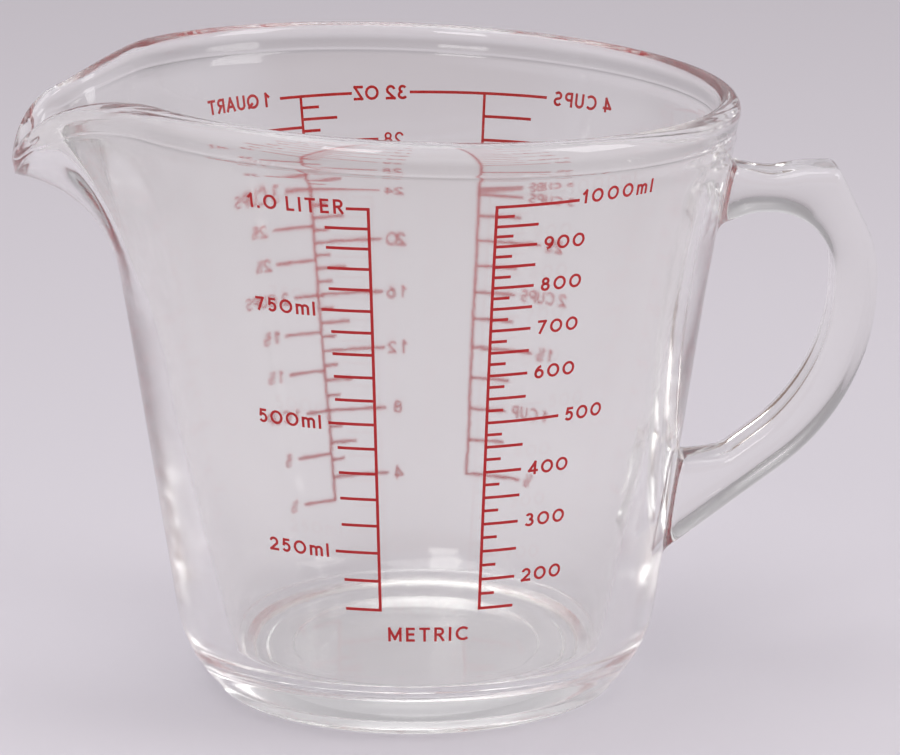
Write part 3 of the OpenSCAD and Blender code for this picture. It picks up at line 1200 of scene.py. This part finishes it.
    def seat(self, grid: Grid, first_row: int, outside_up: bool) -> list[Vert]:
        """Vertices round the opening for one end of the handle.

        Args:
            grid: Vertices by row and column.
            first_row: Lowest row of the opening.
            outside_up: Whether the outer face of the bar is the upper one here.

        Returns:
            The vertices in the order of the bar's section.
        """
        half = self.root_columns
        low, high = first_row, first_row + self.root_rows
        outer, inner = (high, low) if outside_up else (low, high)
        step = -1 if outside_up else 1
        around = [(outer, c) for c in range(-half, half)]
        around += [(r, half) for r in range(outer, inner, step)]
        around += [(inner, c) for c in range(half, -half, -1)]
        around += [(r, -half) for r in range(inner, outer, -step)]
        return [grid[r, c % self.columns] for r, c in around]

    def grow_handle(self, bm: Mesh, grid: Grid) -> None:
        """Open the wall at both roots and draw the handle from one opening to the other.

        Args:
            bm: The skin.
            grid: Its vertices by row and column.
        """
        lower = self.seat(grid, self.root_starts[0], outside_up=False)
        upper = self.seat(grid, self.root_starts[1], outside_up=True)
        inside: set[bmesh.types.BMFace] = set()
        for start in self.root_starts:
            for r in range(start, start + self.root_rows):
                for c in range(-self.root_columns, self.root_columns):
                    pair = grid[r, c % self.columns], grid[r + 1, (c + 1) % self.columns]
                    inside |= set(pair[0].link_faces) & set(pair[1].link_faces)
        bmesh.ops.delete(bm, geom=list(inside), context="FACES")
        bar = [self.handle.ring(station) for station in self.handle.stations()] + self.handle.arm()
        upper_fillet = self.handle.root_rings([v.co.copy() for v in upper], bar[0], bar[1])
        lower_fillet = self.handle.root_rings([v.co.copy() for v in lower], bar[-1], bar[-2])
        spoke = bm.verts.layers.int["spoke"]
        loop = upper
        for ring in [*upper_fillet, *bar, *lower_fillet[::-1], [v.co.copy() for v in lower]]:
            for i, vert in enumerate(loop):
                vert[spoke] = i
            edges = [bm.edges.get(pair) for pair in zip(loop, [*loop[1:], loop[0]])]
            made = bmesh.ops.extrude_edge_only(bm, edges=edges)["geom"]
            loop = sorted((g for g in made if isinstance(g, Vert)), key=lambda v: v[spoke])
            for vert, point in zip(loop, ring, strict=True):
                vert.co = point
        bmesh.ops.weld_verts(bm, targetmap=dict(zip(loop, lower, strict=True)))

    def build(self, material: Material) -> Piece:
        """Make the glass.

        Args:
            material: Its finish.

        Returns:
            The piece, which stands for the bowl, the spout and the handle.
        """
        bm = bmesh.new()
        bm.verts.layers.int.new("spoke")
        grid = self.spin_skin(bm)
        self.grow_handle(bm, grid)
        bmesh.ops.scale(bm, vec=(MM, MM, MM), verts=bm.verts)
        bmesh.ops.recalc_face_normals(bm, faces=bm.faces)
        piece = new_piece("jug_glass", bm, material, smooth=True)
        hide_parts("bowl", "spout", "handle")
        return piece


@dataclass(frozen=True)
class Stroke:
    """One stroke of a print: its middle line as (angle, height) points on the wall, and its width."""

    path: list[Point]
    width: float
    closed: bool = False


@dataclass(frozen=True)
class Line:
    """Straight part of a letter, in shares of its height."""

    start: Point
    end: Point

    def path(self, overrun: float) -> list[Point]:
        """Carry its ends on so that corners fill.

        Args:
            overrun: How far, in shares of the letter's height.

        Returns:
            Its two ends.
        """
        a, b = Vector(self.start), Vector(self.end)
        extra = overrun * (b - a).normalized()
        return [tuple(a - extra), tuple(b + extra)]


@dataclass(frozen=True)
class Bow:
    """Round part of a letter: an arc of an ellipse, in shares of the letter's height and in degrees."""

    centre: Point
    radii: Point
    start: float = 0.0
    end: float = 360.0
    step: float = 15.0
    fewest_steps: int = 6

    @property
    def full(self) -> bool:
        """Whether the arc closes on itself."""
        return abs(self.end - self.start) == 360

    def path(self) -> list[Point]:
        """Points along the arc."""
        steps = max(self.fewest_steps, round(abs(self.end - self.start) / self.step))
        return arc(self.centre, self.radii, math.radians(self.start), math.radians(self.end), steps)


@dataclass(frozen=True)
class Letter:
    """A letter of the print: its width in shares of its height, and its parts."""

    width: float
    parts: tuple[Line | Bow, ...]

    def paths(self, overrun: float) -> list[tuple[list[Point], bool]]:
        """Middle line of each part, and whether it closes on itself; straight parts overrun their ends."""
        return [(p.path(), p.full) if isinstance(p, Bow) else (p.path(overrun), False) for p in self.parts]


def chain(*points: Point) -> tuple[Line, ...]:
    """Straight parts of a letter from point to point."""
    return tuple(Line(a, b) for a, b in zip(points, points[1:]))


LETTERS: dict[str, Letter] = {
    "0": Letter(0.94, (Bow((0.47, 0.5), (0.47, 0.5)),)),
    "1": Letter(0.24, (Line((0.24, 0), (0.24, 1)), Line((0, 0.76), (0.24, 1)))),
    "2": Letter(0.66, (Bow((0.32, 0.69), (0.31, 0.31), 168, -36), *chain((0.57, 0.51), (0, 0), (0.66, 0)))),
    "3": Letter(
        0.62, (Bow((0.29, 0.76), (0.26, 0.24), 155, -90), Bow((0.29, 0.265), (0.33, 0.265), 90, -155))
    ),
    "4": Letter(0.7, chain((0.52, 0), (0.52, 1), (0, 0.24), (0.7, 0.24))),
    "5": Letter(
        0.6, (*chain((0.54, 1), (0.14, 1), (0.07, 0.55)), Bow((0.28, 0.33), (0.32, 0.33), 132, -148))
    ),
    "6": Letter(0.64, (Bow((0.32, 0.32), (0.32, 0.32)), Bow((0.62, 0.34), (0.62, 0.66), 180, 104))),
    "7": Letter(0.58, chain((0, 1), (0.58, 1), (0.14, 0))),
    "8": Letter(0.6, (Bow((0.3, 0.765), (0.24, 0.235)), Bow((0.3, 0.265), (0.3, 0.265)))),
    "9": Letter(0.64, (Bow((0.32, 0.68), (0.32, 0.32)), Bow((0.02, 0.66), (0.62, 0.66), 0, -76))),
    ".": Letter(0.02, chain((0, 0), (0.02, 0))),
    "/": Letter(0.3, chain((0, 0), (0.3, 1))),
    "A": Letter(0.76, (*chain((0, 0), (0.38, 1), (0.76, 0)), Line((0.15, 0.32), (0.61, 0.32)))),
    "C": Letter(0.86, (Bow((0.5, 0.5), (0.5, 0.5), 46, 314),)),
    "E": Letter(
        0.5, (*chain((0, 0), (0, 1), (0.5, 1)), Line((0, 0.52), (0.46, 0.52)), Line((0, 0), (0.5, 0)))
    ),
    "I": Letter(0, chain((0, 0), (0, 1))),
    "L": Letter(0.46, (Line((0, 0), (0, 1)), Line((0, 0), (0.46, 0)))),
    "M": Letter(0.86, chain((0, 0), (0, 1), (0.43, 0.12), (0.86, 1), (0.86, 0))),
    "O": Letter(1, (Bow((0.5, 0.5), (0.5, 0.5)),)),
    "P": Letter(
        0.56,
        (
            *chain((0, 0), (0, 1), (0.3, 1)),
            Bow((0.3, 0.73), (0.26, 0.27), 90, -90),
            Line((0.3, 0.46), (0, 0.46)),
        ),
    ),
    "Q": Letter(1, (Bow((0.5, 0.5), (0.5, 0.5)), Line((0.6, 0.3), (0.94, 0.02)))),
    "R": Letter(
        0.6,
        (
            *chain((0, 0), (0, 1), (0.3, 1)),
            Bow((0.3, 0.74), (0.27, 0.26), 90, -90),
            Line((0.3, 0.48), (0, 0.48)),
            Line((0.28, 0.48), (0.6, 0)),
        ),
    ),
    "S": Letter(
        0.58, (Bow((0.29, 0.755), (0.27, 0.245), 30, 270), Bow((0.29, 0.255), (0.29, 0.255), 90, -150))
    ),
    "T": Letter(0.64, (Line((0, 1), (0.64, 1)), Line((0.32, 1), (0.32, 0)))),
    "U": Letter(
        0.66,
        (Line((0, 1), (0, 0.33)), Bow((0.33, 0.33), (0.33, 0.33), 180, 360), Line((0.66, 0.33), (0.66, 1))),
    ),
    "Z": Letter(0.64, chain((0, 1), (0.62, 1), (0, 0), (0.64, 0))),
    "l": Letter(0, chain((0, 0), (0, 1))),
    "m": Letter(
        0.96,
        (
            Line((0, 0), (0, 0.72)),
            Bow((0.24, 0.48), (0.24, 0.24), 180, 0),
            Line((0.48, 0.48), (0.48, 0)),
            Bow((0.72, 0.48), (0.24, 0.24), 180, 0),
            Line((0.96, 0.48), (0.96, 0)),
        ),
    ),
}


class Face(Enum):
    """Side of the jug that a print is read from; the value is the angle of its middle."""

    FRONT = -math.pi / 2
    BACK = math.pi / 2


@dataclass(frozen=True)
class Word:
    """A printed word or number.

    Its place is the distance of its left and right edges from the middle of the face, as it is read, and the
    height of its middle. A fraction is written small after a full-size number.
    """

    text: str
    left: float
    right: float
    z: float
    cap: float
    fraction: str = ""
    weight: float = 1.0


@dataclass(frozen=True)
class FractionForm:
    """A small fraction after a number: a figure above and one below a slanted bar.

    The height of the figures and the pens are shares of the word's own, the rest are lengths.
    """

    room: float = 2.3
    width: float = 2.0
    figure: float = 0.5
    pen: float = 0.8
    bar_pen: float = 0.64
    bar_x: float = 0.55
    lower_x: float = 1.15
    spread: float = 0.1


@dataclass
class EnamelPrint:
    """The two fired prints: lines, which stand for the solids' lines, and numerals and unit words.

    Ticks are the lengths of the level lines. They and the gap in the quart line are measured at the height
    of the top metric line. A label's place is its volume and its edges. A place on the quart line is what
    the caption says, the angles of its edges in degrees and the height of its letters.
    """

    wall: WallForm
    material: Material
    line_w: float = 0.62
    letter_w: float = 0.54
    back_letter_w: float = 0.44
    word_space: float = 0.45
    sunk: float = 0.03
    proud: float = 0.06
    segment: float = 2.0
    weld_m: float = 1e-6
    ml_per_ounce: float = 29.5735
    ounces_per_cup: int = 8
    cups_per_quart: int = 4
    label_ounces: int = 4
    first_ml: int = 150
    top_ml: int = 1000
    mark_ml: int = 50
    numeral_ml: int = 100
    label_ml: int = 250
    main_ml: int = 500
    back_rise: float = 2.0
    spine_angle: float = math.radians(10.9)
    ounce_spine_angle: float = math.radians(19.6)
    cup_spine_angle: float = math.radians(17.1)
    caption_angle: float = math.radians(3.4)
    metric_tick: float = 8.8
    long_metric_tick: float = 17.6
    short_metric_tick: float = 3.5
    litre_tick: float = 10.7
    top_litre_tick: float = 4.2
    quart_ticks: Point = (15.0, 4.9)
    quart_gap: float = 13.5
    ounce_label_tick: float = 18.0
    ounce_pair_tick: float = 8.3
    ounce_tick: float = 4.0
    cup_tick: float = 11.4
    whole_cup_tick: float = 6.9
    half_cup_tick: float = 18.0
    numeral_w: float = 9.2
    numeral_cap: float = 2.95
    numeral_gap: float = 1.6
    ounce_x: float = 1.1
    ounce_half_ws: Point = (1.0, 2.3)
    caption_cap: float = 3.0
    cup_cap: float = 2.9
    fraction_w: float = 2.4
    mixed_w: float = 4.4
    cup_w: float = 10.4
    cups_w: float = 12.8
    third_gap: float = 2.0
    half_gap: float = 1.8
    quart_weight: float = 1.35
    litre_caption: Word = Word("1.0 LITER", -38.5, -17.9, 117.9, 3.1)
    top_numeral: Word = Word("1000ml", 31.5, 49.8, 118.15, numeral_cap)
    metric_caption: Word = Word("METRIC", -8.6, 8.1, 24.9, 3.15)
    label_places: tuple[tuple[int, float, float], ...] = (
        (750, -37.0, -23.8),
        (500, -36.8, -22.65),
        (250, -34.7, -21.1),
    )
    quart_places: tuple[tuple[str, float, float, float], ...] = (
        ("1 QUART", 26.3, 41.0, 3.2),
        ("32 OZ", -1.8, 8.8, 3.2),
        ("4 CUPS", -45.2, -31.6, 3.3),
    )
    fraction: FractionForm = FractionForm()

    def turn(self, length: float) -> float:
        """Angle that a length of the print covers."""
        return length / self.wall.outer_r(self.wall.fill_z(self.top_ml))

    def ounce_z(self, ounces: float) -> float:
        """Height of a volume in fluid ounces on the print at the back."""
        return self.wall.fill_z(ounces * self.ml_per_ounce) + self.back_rise

    def cup_z(self, cups: float) -> float:
        """Height of a volume in cups on the print at the back."""
        return self.ounce_z(self.ounces_per_cup * cups)

    @property
    def quart_z(self) -> float:
        """Height of the quart line."""
        return self.cup_z(self.cups_per_quart)

    @property
    def ounce_labels(self) -> range:
        """Volumes in ounces that have a numeral."""
        return range(self.label_ounces, self.ounces_per_cup * self.cups_per_quart, self.label_ounces)

    def span(self, z: float, start: float, end: float) -> Stroke:
        """Level line between two angles."""
        steps = max(1, math.ceil(abs(end - start) * self.wall.outer_r(z) / self.segment))
        return Stroke([(mix(start, end, t), z) for t in even_shares(steps)], self.line_w)

    def tick(self, z: float, spine: float, side: int, length: float) -> Stroke:
        """Level line from the edge of a spine; side is 1 or -1 round the jug."""
        edge = spine + side * self.turn(self.line_w) / 2
        return self.span(z, edge, edge + side * self.turn(length))

    def spine(self, angle: float, low: float, high: float) -> Stroke:
        """Draw an upright line.

        Args:
            angle: Where it stands.
            low: Height of the lowest tick.
            high: Height of the highest one.

        Returns:
            The line, from edge to edge of those ticks.
        """
        low, high = low - self.line_w / 2, high + self.line_w / 2
        steps = math.ceil((high - low) / self.segment)
        return Stroke([(angle, mix(low, high, t)) for t in even_shares(steps)], self.line_w)

    def metric_lines(self) -> dict[str, list[Stroke]]:
        """Draw the lines of the print at the front.

        Returns:
            Strokes by the name of the solid that they stand for.
        """
        litre, millilitre = Face.FRONT.value - self.spine_angle, Face.FRONT.value + self.spine_angle
        low_z, high_z = self.wall.fill_z(self.first_ml), self.wall.fill_z(self.top_ml)

        def ticks(volumes: Iterable[float], side: int, length: float) -> list[Stroke]:
            """Ticks at some volumes, from the litre spine on side -1 or the millilitre spine on side 1."""
            spine = litre if side < 0 else millilitre
            return [self.tick(self.wall.fill_z(ml), spine, side, length) for ml in volumes]

        marks = range(self.first_ml, self.top_ml, self.mark_ml)
        labels = range(self.label_ml, self.top_ml, self.label_ml)
        between = [ml + self.mark_ml / 2 for ml in marks]
        return {
            "litre_spine": [self.spine(litre, low_z, high_z)],
            "litre_label_lines": ticks(labels, -1, self.litre_tick)
            + ticks([self.top_ml], -1, self.top_litre_tick),
            "litre_lines": ticks([ml for ml in marks if ml not in labels], -1, self.metric_tick),
            "millilitre_spine": [self.spine(millilitre, low_z, high_z)],
            "millilitre_main_lines": ticks([self.main_ml, self.top_ml], 1, self.long_metric_tick),
            "millilitre_lines": ticks([ml for ml in marks if ml != self.main_ml], 1, self.metric_tick),
            "millilitre_short_lines": ticks(between, 1, self.short_metric_tick),
        }

    def cup_lines(self) -> dict[str, list[Stroke]]:
        """Draw the lines of the print at the back.

        Returns:
            Strokes by the name of the solid that they stand for.
        """
        ounce, cup = Face.BACK.value + self.ounce_spine_angle, Face.BACK.value - self.cup_spine_angle
        caption, gap = Face.BACK.value + self.caption_angle, self.turn(self.quart_gap) / 2
        edge, quart_z, cups = self.turn(self.line_w) / 2, self.quart_z, self.cups_per_quart
        right, left = (self.turn(length) for length in self.quart_ticks)
        labels = self.ounce_labels
        ounces = {
            "ounce_label_lines": (labels, self.ounce_label_tick),
            "ounce_pair_lines": ([oz + 2 for oz in labels], self.ounce_pair_tick),
            "ounce_lines": ([oz + past for oz in labels for past in (1, 3)], self.ounce_tick),
        }
        thirds = {
            "third_cup_lines": ([n / 3 for n in range(1, 3 * cups) if n % 3], self.cup_tick),
            "whole_cup_lines": (range(1, cups), self.whole_cup_tick),
        }
        quarters = {
            "quarter_cup_lines": ([n / 4 for n in range(3, 4 * cups) if n % 4 != 2], self.cup_tick),
            "half_cup_lines": ([n + 1 / 2 for n in range(cups)], self.half_cup_tick),
        }
        return {
            "quart_line": [
                self.span(quart_z, cup - edge - right, cup - edge),
                self.span(quart_z, cup + edge, caption - gap),
                self.span(quart_z, caption + gap, ounce - edge),
                self.span(quart_z, ounce + edge, ounce + edge + left),
            ],
            "ounce_spine": [self.spine(ounce, self.cup_z(1 / 3), quart_z)],
            **{k: [self.tick(self.ounce_z(v), ounce, -1, t) for v in vs] for k, (vs, t) in ounces.items()},
            **{k: [self.tick(self.cup_z(v), ounce, 1, t) for v in vs] for k, (vs, t) in thirds.items()},
            "cup_spine": [self.spine(cup, self.cup_z(1 / 2), quart_z)],
            **{k: [self.tick(self.cup_z(v), cup, -1, t) for v in vs] for k, (vs, t) in quarters.items()},
        }

    def past_tick(self, spine: float, tick: float, z: float) -> float:
        """Distance of the end of a tick from the middle of its face, at a height."""
        return (spine + self.turn(tick)) * self.wall.outer_r(z)

    def numeral(self, ml: int) -> Word:
        """Set a numeral beside the millilitre lines.

        Args:
            ml: Its volume.

        Returns:
            The numeral.
        """
        z = self.wall.fill_z(ml)
        tick = self.long_metric_tick if ml == self.main_ml else self.metric_tick
        left = self.past_tick(self.spine_angle, self.line_w / 2 + tick, z) + self.numeral_gap
        return Word(str(ml), left, left + self.numeral_w, z, self.numeral_cap)

    def ounce_numeral(self, ounces: int) -> Word:
        """Set a numeral beside the ounce lines.

        Args:
            ounces: Its volume.

        Returns:
            The numeral.
        """
        text = str(ounces)
        half = self.ounce_half_ws[len(text) - 1]
        return Word(text, self.ounce_x - half, self.ounce_x + half, self.ounce_z(ounces), self.caption_cap)

    def cup_caption(self, parts: int, of: int) -> Word:
        """Set a caption of the cup lines.

        Args:
            parts: Its volume in parts of a cup.
            of: How many parts make a cup: 3 beside the ounce spine, or 4 beside the cup spine.

        Returns:
            The caption.
        """
        whole, rest = divmod(parts, of)
        z = self.cup_z(parts / of)
        if rest:
            text, width = (str(whole), self.mixed_w) if whole else ("", self.fraction_w)
            fraction = f"{rest}/3" if of == 3 else "1/2"
        else:
            text, width = (f"{whole} CUPS", self.cups_w) if whole > 1 else ("1 CUP", self.cup_w)
            fraction = ""
        if of == 3:
            tick = self.cup_tick if rest else self.whole_cup_tick
            left = self.past_tick(self.ounce_spine_angle, tick, z) + self.third_gap
        else:
            tick = self.half_cup_tick if rest else self.cup_tick
            left = -self.past_tick(self.cup_spine_angle, tick, z) - self.half_gap - width
        return Word(text, left, left + width, z, self.cup_cap, fraction)

    def quart_caption(self, text: str, left: float, right: float, cap: float) -> Word:
        """Set a heavy caption on the quart line.

        Args:
            text: What it says.
            left: Angle of its left edge from the middle of the face, in degrees.
            right: Angle of its right edge.
            cap: Height of its letters.

        Returns:
            The caption.
        """
        z = self.quart_z
        edges = (math.radians(angle) * self.wall.outer_r(z) for angle in (left, right))
        return Word(text, *edges, z, cap, weight=self.quart_weight)

    def words(self) -> dict[str, tuple[Face, list[Word]]]:
        """Set the words of both prints.

        Returns:
            Side and words by the name of their piece.
        """
        fill, cups = self.wall.fill_z, self.cups_per_quart
        labels = [
            Word(f"{ml}ml", left, right, fill(ml), self.caption_cap) for ml, left, right in self.label_places
        ]
        numerals = [self.numeral(ml) for ml in range(2 * self.numeral_ml, self.top_ml, self.numeral_ml)]
        thirds = [self.cup_caption(n, 3) for n in range(1, 3 * cups)]
        halves = [self.cup_caption(n, 4) for n in range(2, 4 * cups, 2)]
        return {
            "litre_captions": (Face.FRONT, [self.litre_caption, *labels]),
            "millilitre_numerals": (Face.FRONT, [*numerals, self.top_numeral]),
            "metric_caption": (Face.FRONT, [self.metric_caption]),
            "ounce_numerals": (Face.BACK, [self.ounce_numeral(oz) for oz in self.ounce_labels]),
            "cup_captions": (Face.BACK, thirds + halves),
            "quart_captions": (Face.BACK, [self.quart_caption(*place) for place in self.quart_places]),
        }

    def write(self, face: Face, word: Word) -> list[Stroke]:
        """Turn a word into strokes on the wall.

        Args:
            face: Side of the jug that it is read from.
            word: The word.

        Returns:
            Its strokes.
        """
        r = self.wall.outer_r(word.z)
        pen = word.weight * (self.letter_w if face is Face.FRONT else self.back_letter_w)
        strokes: list[Stroke] = []

        def draw(letter: Letter, x: float, y: float, height: float, nib: float) -> None:
            """Add the strokes of one letter.

            Args:
                letter: The letter.
                x: Distance of its left edge from the middle of the face.
                y: Height of its foot over the middle of the word.
                height: Its height.
                nib: Width of its strokes.
            """
            for path, closed in letter.paths(nib / 2 / height):
                points = [(face.value + (x + a * height) / r, word.z + y + b * height) for a, b in path]
                strokes.append(Stroke(points, nib, closed))

        form = self.fraction
        height = word.cap - pen
        right = word.right - (form.room if word.fraction else 0)
        glyphs = [LETTERS.get(character) for character in word.text]
        filled = sum(glyph.width if glyph else self.word_space for glyph in glyphs) * height
        gaps = max(1, sum(glyph is not None for glyph in glyphs) - 1)
        gap = (right - word.left - pen - filled) / gaps if word.text else 0
        x = word.left + pen / 2
        for glyph in glyphs:
            if glyph:
                draw(glyph, x, -height / 2, height, pen)
            x += glyph.width * height + gap if glyph else self.word_space * height
        if word.fraction:
            small, thin = height * form.figure, pen * form.pen
            left, foot = word.right - form.width, -height / 2
            upper, lower = (LETTERS[figure] for figure in word.fraction.split("/"))
            draw(upper, left, -foot - small + form.spread, small, thin)
            draw(LETTERS["/"], left + form.bar_x, foot, height, pen * form.bar_pen)
            draw(lower, left + form.lower_x, foot - form.spread, small, thin)
        return strokes

    def on_wall(self, angle: float, z: float, lift: float) -> Vector:
        """Point over the wall, in metres."""
        r = self.wall.outer_r(z) + lift / math.cos(self.wall.slope)
        return polar(r, angle, z) * MM

    def lay(self, bm: Mesh, stroke: Stroke, across: Layer, up: Layer) -> None:
        """Lay one stroke on the wall as a ribbon.

        Args:
            bm: Mesh that takes it.
            stroke: The stroke.
            across: Vertex layer that keeps the angle.
            up: Vertex layer that keeps the height.
        """
        path = stroke.path
        count = len(path) - 1
        made = bmesh.ops.create_grid(bm, x_segments=count, y_segments=1, size=1)["verts"]
        for vert in made:
            i = round((vert.co.x + 1) / 2 * count)
            if stroke.closed:
                before, after = path[(i - 1) % count], path[(i + 1) % count]
            else:
                before, after = path[max(i - 1, 0)], path[min(i + 1, count)]
            r = self.wall.outer_r(path[i][1])
            along = Vector(((after[0] - before[0]) * r, after[1] - before[1])).normalized()
            side = math.copysign(stroke.width / 2, vert.co.y)
            vert[across] = path[i][0] - along.y * side / r
            vert[up] = path[i][1] + along.x * side
            vert.co = self.on_wall(vert[across], vert[up], -self.sunk)
        if stroke.closed:
            bmesh.ops.remove_doubles(bm, verts=made, dist=self.weld_m)

    def piece(self, name: str, strokes: Iterable[Stroke]) -> Piece:
        """Make one patch of enamel from its strokes.

        Args:
            name: Name of the piece.
            strokes: Its strokes.

        Returns:
            The piece.
        """
        bm = bmesh.new()
        across = bm.verts.layers.float.new("across")
        up = bm.verts.layers.float.new("up")
        for stroke in strokes:
            self.lay(bm, stroke, across, up)
        made = bmesh.ops.extrude_face_region(bm, geom=list(bm.faces), use_keep_orig=True)["geom"]
        for vert in (g for g in made if isinstance(g, Vert)):
            vert.co = self.on_wall(vert[across], vert[up], self.proud)
        bmesh.ops.recalc_face_normals(bm, faces=bm.faces)
        return new_piece(name, bm, self.material, smooth=False)

    def build(self) -> list[Piece]:
        """Make every line, numeral and word of both prints.

        Returns:
            The pieces.
        """
        pieces = []
        for node, strokes in (self.metric_lines() | self.cup_lines()).items():
            line = self.piece(f"enamel_{node}", strokes)
            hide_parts(node)
            pieces.append(line)
        for name, (face, words) in self.words().items():
            pieces.append(self.piece(name, [stroke for word in words for stroke in self.write(face, word)]))
        return pieces


@dataclass(frozen=True)
class SoftBox:
    """A studio lamp with a large soft face, aimed at the jug."""

    name: str
    place: Place
    size: Point
    power: float
    target: Place = (0.0, 0.0, 70.0)

    def build(self) -> None:
        """Hang the lamp."""
        data = bpy.data.lights.new(self.name, "AREA")
        data.shape = "RECTANGLE"
        data.size, data.size_y = (side * MM for side in self.size)
        data.energy = self.power
        lamp = bpy.data.objects.new(self.name, data)
        place = Vector(self.place) * MM
        aim = (Vector(self.target) * MM - place).to_track_quat("-Z", "Y")
        lamp.matrix_world = Matrix.Translation(place) @ aim.to_matrix().to_4x4()
        bpy.context.scene.collection.objects.link(lamp)


@dataclass(frozen=True)
class SkyPatch:
    """A part of the room with a colour of its own, which fades in along Y and with the height."""

    colour: str
    y_span: Point
    z_span: Point


@dataclass
class Studio:
    """Paper floor, soft light and the camera at the photograph's viewing angle.

    The room is pale all round, greyer low behind the jug, and warm and darker over the camera.
    """

    floor_r: float = 3000.0
    floor_edges: int = 96
    floor_gap: float = 0.1
    camera_place: Place = (-55.06, -1007.28, 324.25)
    camera_pitch: float = math.radians(14.363)
    camera_heading: float = math.radians(3.555)
    camera_roll: float = math.radians(-0.0977)
    lens: float = 194.566
    sensor: float = 36.0
    clip_m: Point = (0.05, 20.0)
    bounces: int = 32
    sky: str = "#ECE9EE"
    sky_strength: float = 0.76
    patches: tuple[SkyPatch, ...] = (
        SkyPatch("#B4B0B5", (0.0, 0.5), (0.45, 0.05)),
        SkyPatch("#93705C", (-0.3, -0.7), (0.75, 0.45)),
        SkyPatch("#ECE9EE", (-0.3, -0.7), (0.2, 0.05)),
    )
    lamps: tuple[SoftBox, ...] = (
        SoftBox("top_soft_box", (-250, -100, 1700), (1100, 1100), 9.3),
        SoftBox("right_soft_box", (1000, -350, 800), (500, 700), 4.0),
        SoftBox("front_fill", (-500, -1200, 1000), (500, 500), 4.4),
    )

    def floor(self, material: Material) -> None:
        """Lay the floor, a hair under the foot so that air parts it from the glass.

        Args:
            material: Its finish.
        """
        bm = bmesh.new()
        bmesh.ops.create_circle(bm, cap_ends=True, segments=self.floor_edges, radius=self.floor_r * MM)
        bmesh.ops.translate(bm, verts=bm.verts, vec=(0, 0, -self.floor_gap * MM))
        new_piece("floor", bm, material, smooth=False)

    def light(self) -> None:
        """Hang the lamps and light the room."""
        for lamp in self.lamps:
            lamp.build()
        world = bpy.data.worlds.new("studio")
        world.use_nodes = True
        tree = world.node_tree
        tree.nodes.clear()
        heading = add_node(tree, "ShaderNodeTexCoord").outputs["Generated"]
        parts = add_node(tree, "ShaderNodeSeparateXYZ", {"Vector": heading}).outputs
        colour: Colour | Socket = srgb(self.sky)
        for patch in self.patches:
            spans = (("Y", patch.y_span), ("Z", patch.z_span))
            shares = [add_share(tree, parts[axis], span, smooth=True) for axis, span in spans]
            share = add_node(tree, "ShaderNodeMath", dict(enumerate(shares)), operation="MULTIPLY")
            colour = add_blend(tree, share.outputs[0], colour, srgb(patch.colour))
        glow = add_node(tree, "ShaderNodeBackground", {"Color": colour, "Strength": self.sky_strength})
        add_node(tree, "ShaderNodeOutputWorld", {"Surface": glow.outputs[0]})
        bpy.context.scene.world = world

    def camera(self) -> None:
        """Set up the camera."""
        data = bpy.data.cameras.new("camera")
        data.sensor_fit = "HORIZONTAL"
        data.sensor_width = self.sensor
        data.lens = self.lens
        data.clip_start, data.clip_end = self.clip_m
        camera = bpy.data.objects.new("camera", data)
        camera.matrix_world = (
            Matrix.Translation(Vector(self.camera_place) * MM)
            @ Matrix.Rotation(-self.camera_heading, 4, "Z")
            @ Matrix.Rotation(math.pi / 2 - self.camera_pitch, 4, "X")
            @ Matrix.Rotation(self.camera_roll, 4, "Z")
        )
        bpy.context.scene.collection.objects.link(camera)
        bpy.context.scene.camera = camera
        bpy.context.scene.view_settings.view_transform = "Standard"

    def light_paths(self) -> None:
        """Let light cross and bounce inside the thick glass until it leaves."""
        cycles = bpy.context.scene.cycles
        cycles.max_bounces = cycles.transmission_bounces = cycles.glossy_bounces = self.bounces


def main() -> None:
    """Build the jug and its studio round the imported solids."""
    logging.basicConfig(level=logging.INFO, format="%(message)s")
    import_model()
    studio = Studio()
    studio.camera()
    studio.floor(PaperSweep().material())
    studio.light()
    studio.light_paths()
    wall = WallForm()
    glass = GlassJug(wall).build(PressedGlass().material())
    prints = EnamelPrint(wall, FiredEnamel().material()).build()
    for piece in (glass, *prints):
        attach(piece, BODY)


if __name__ == "__main__":
    main()
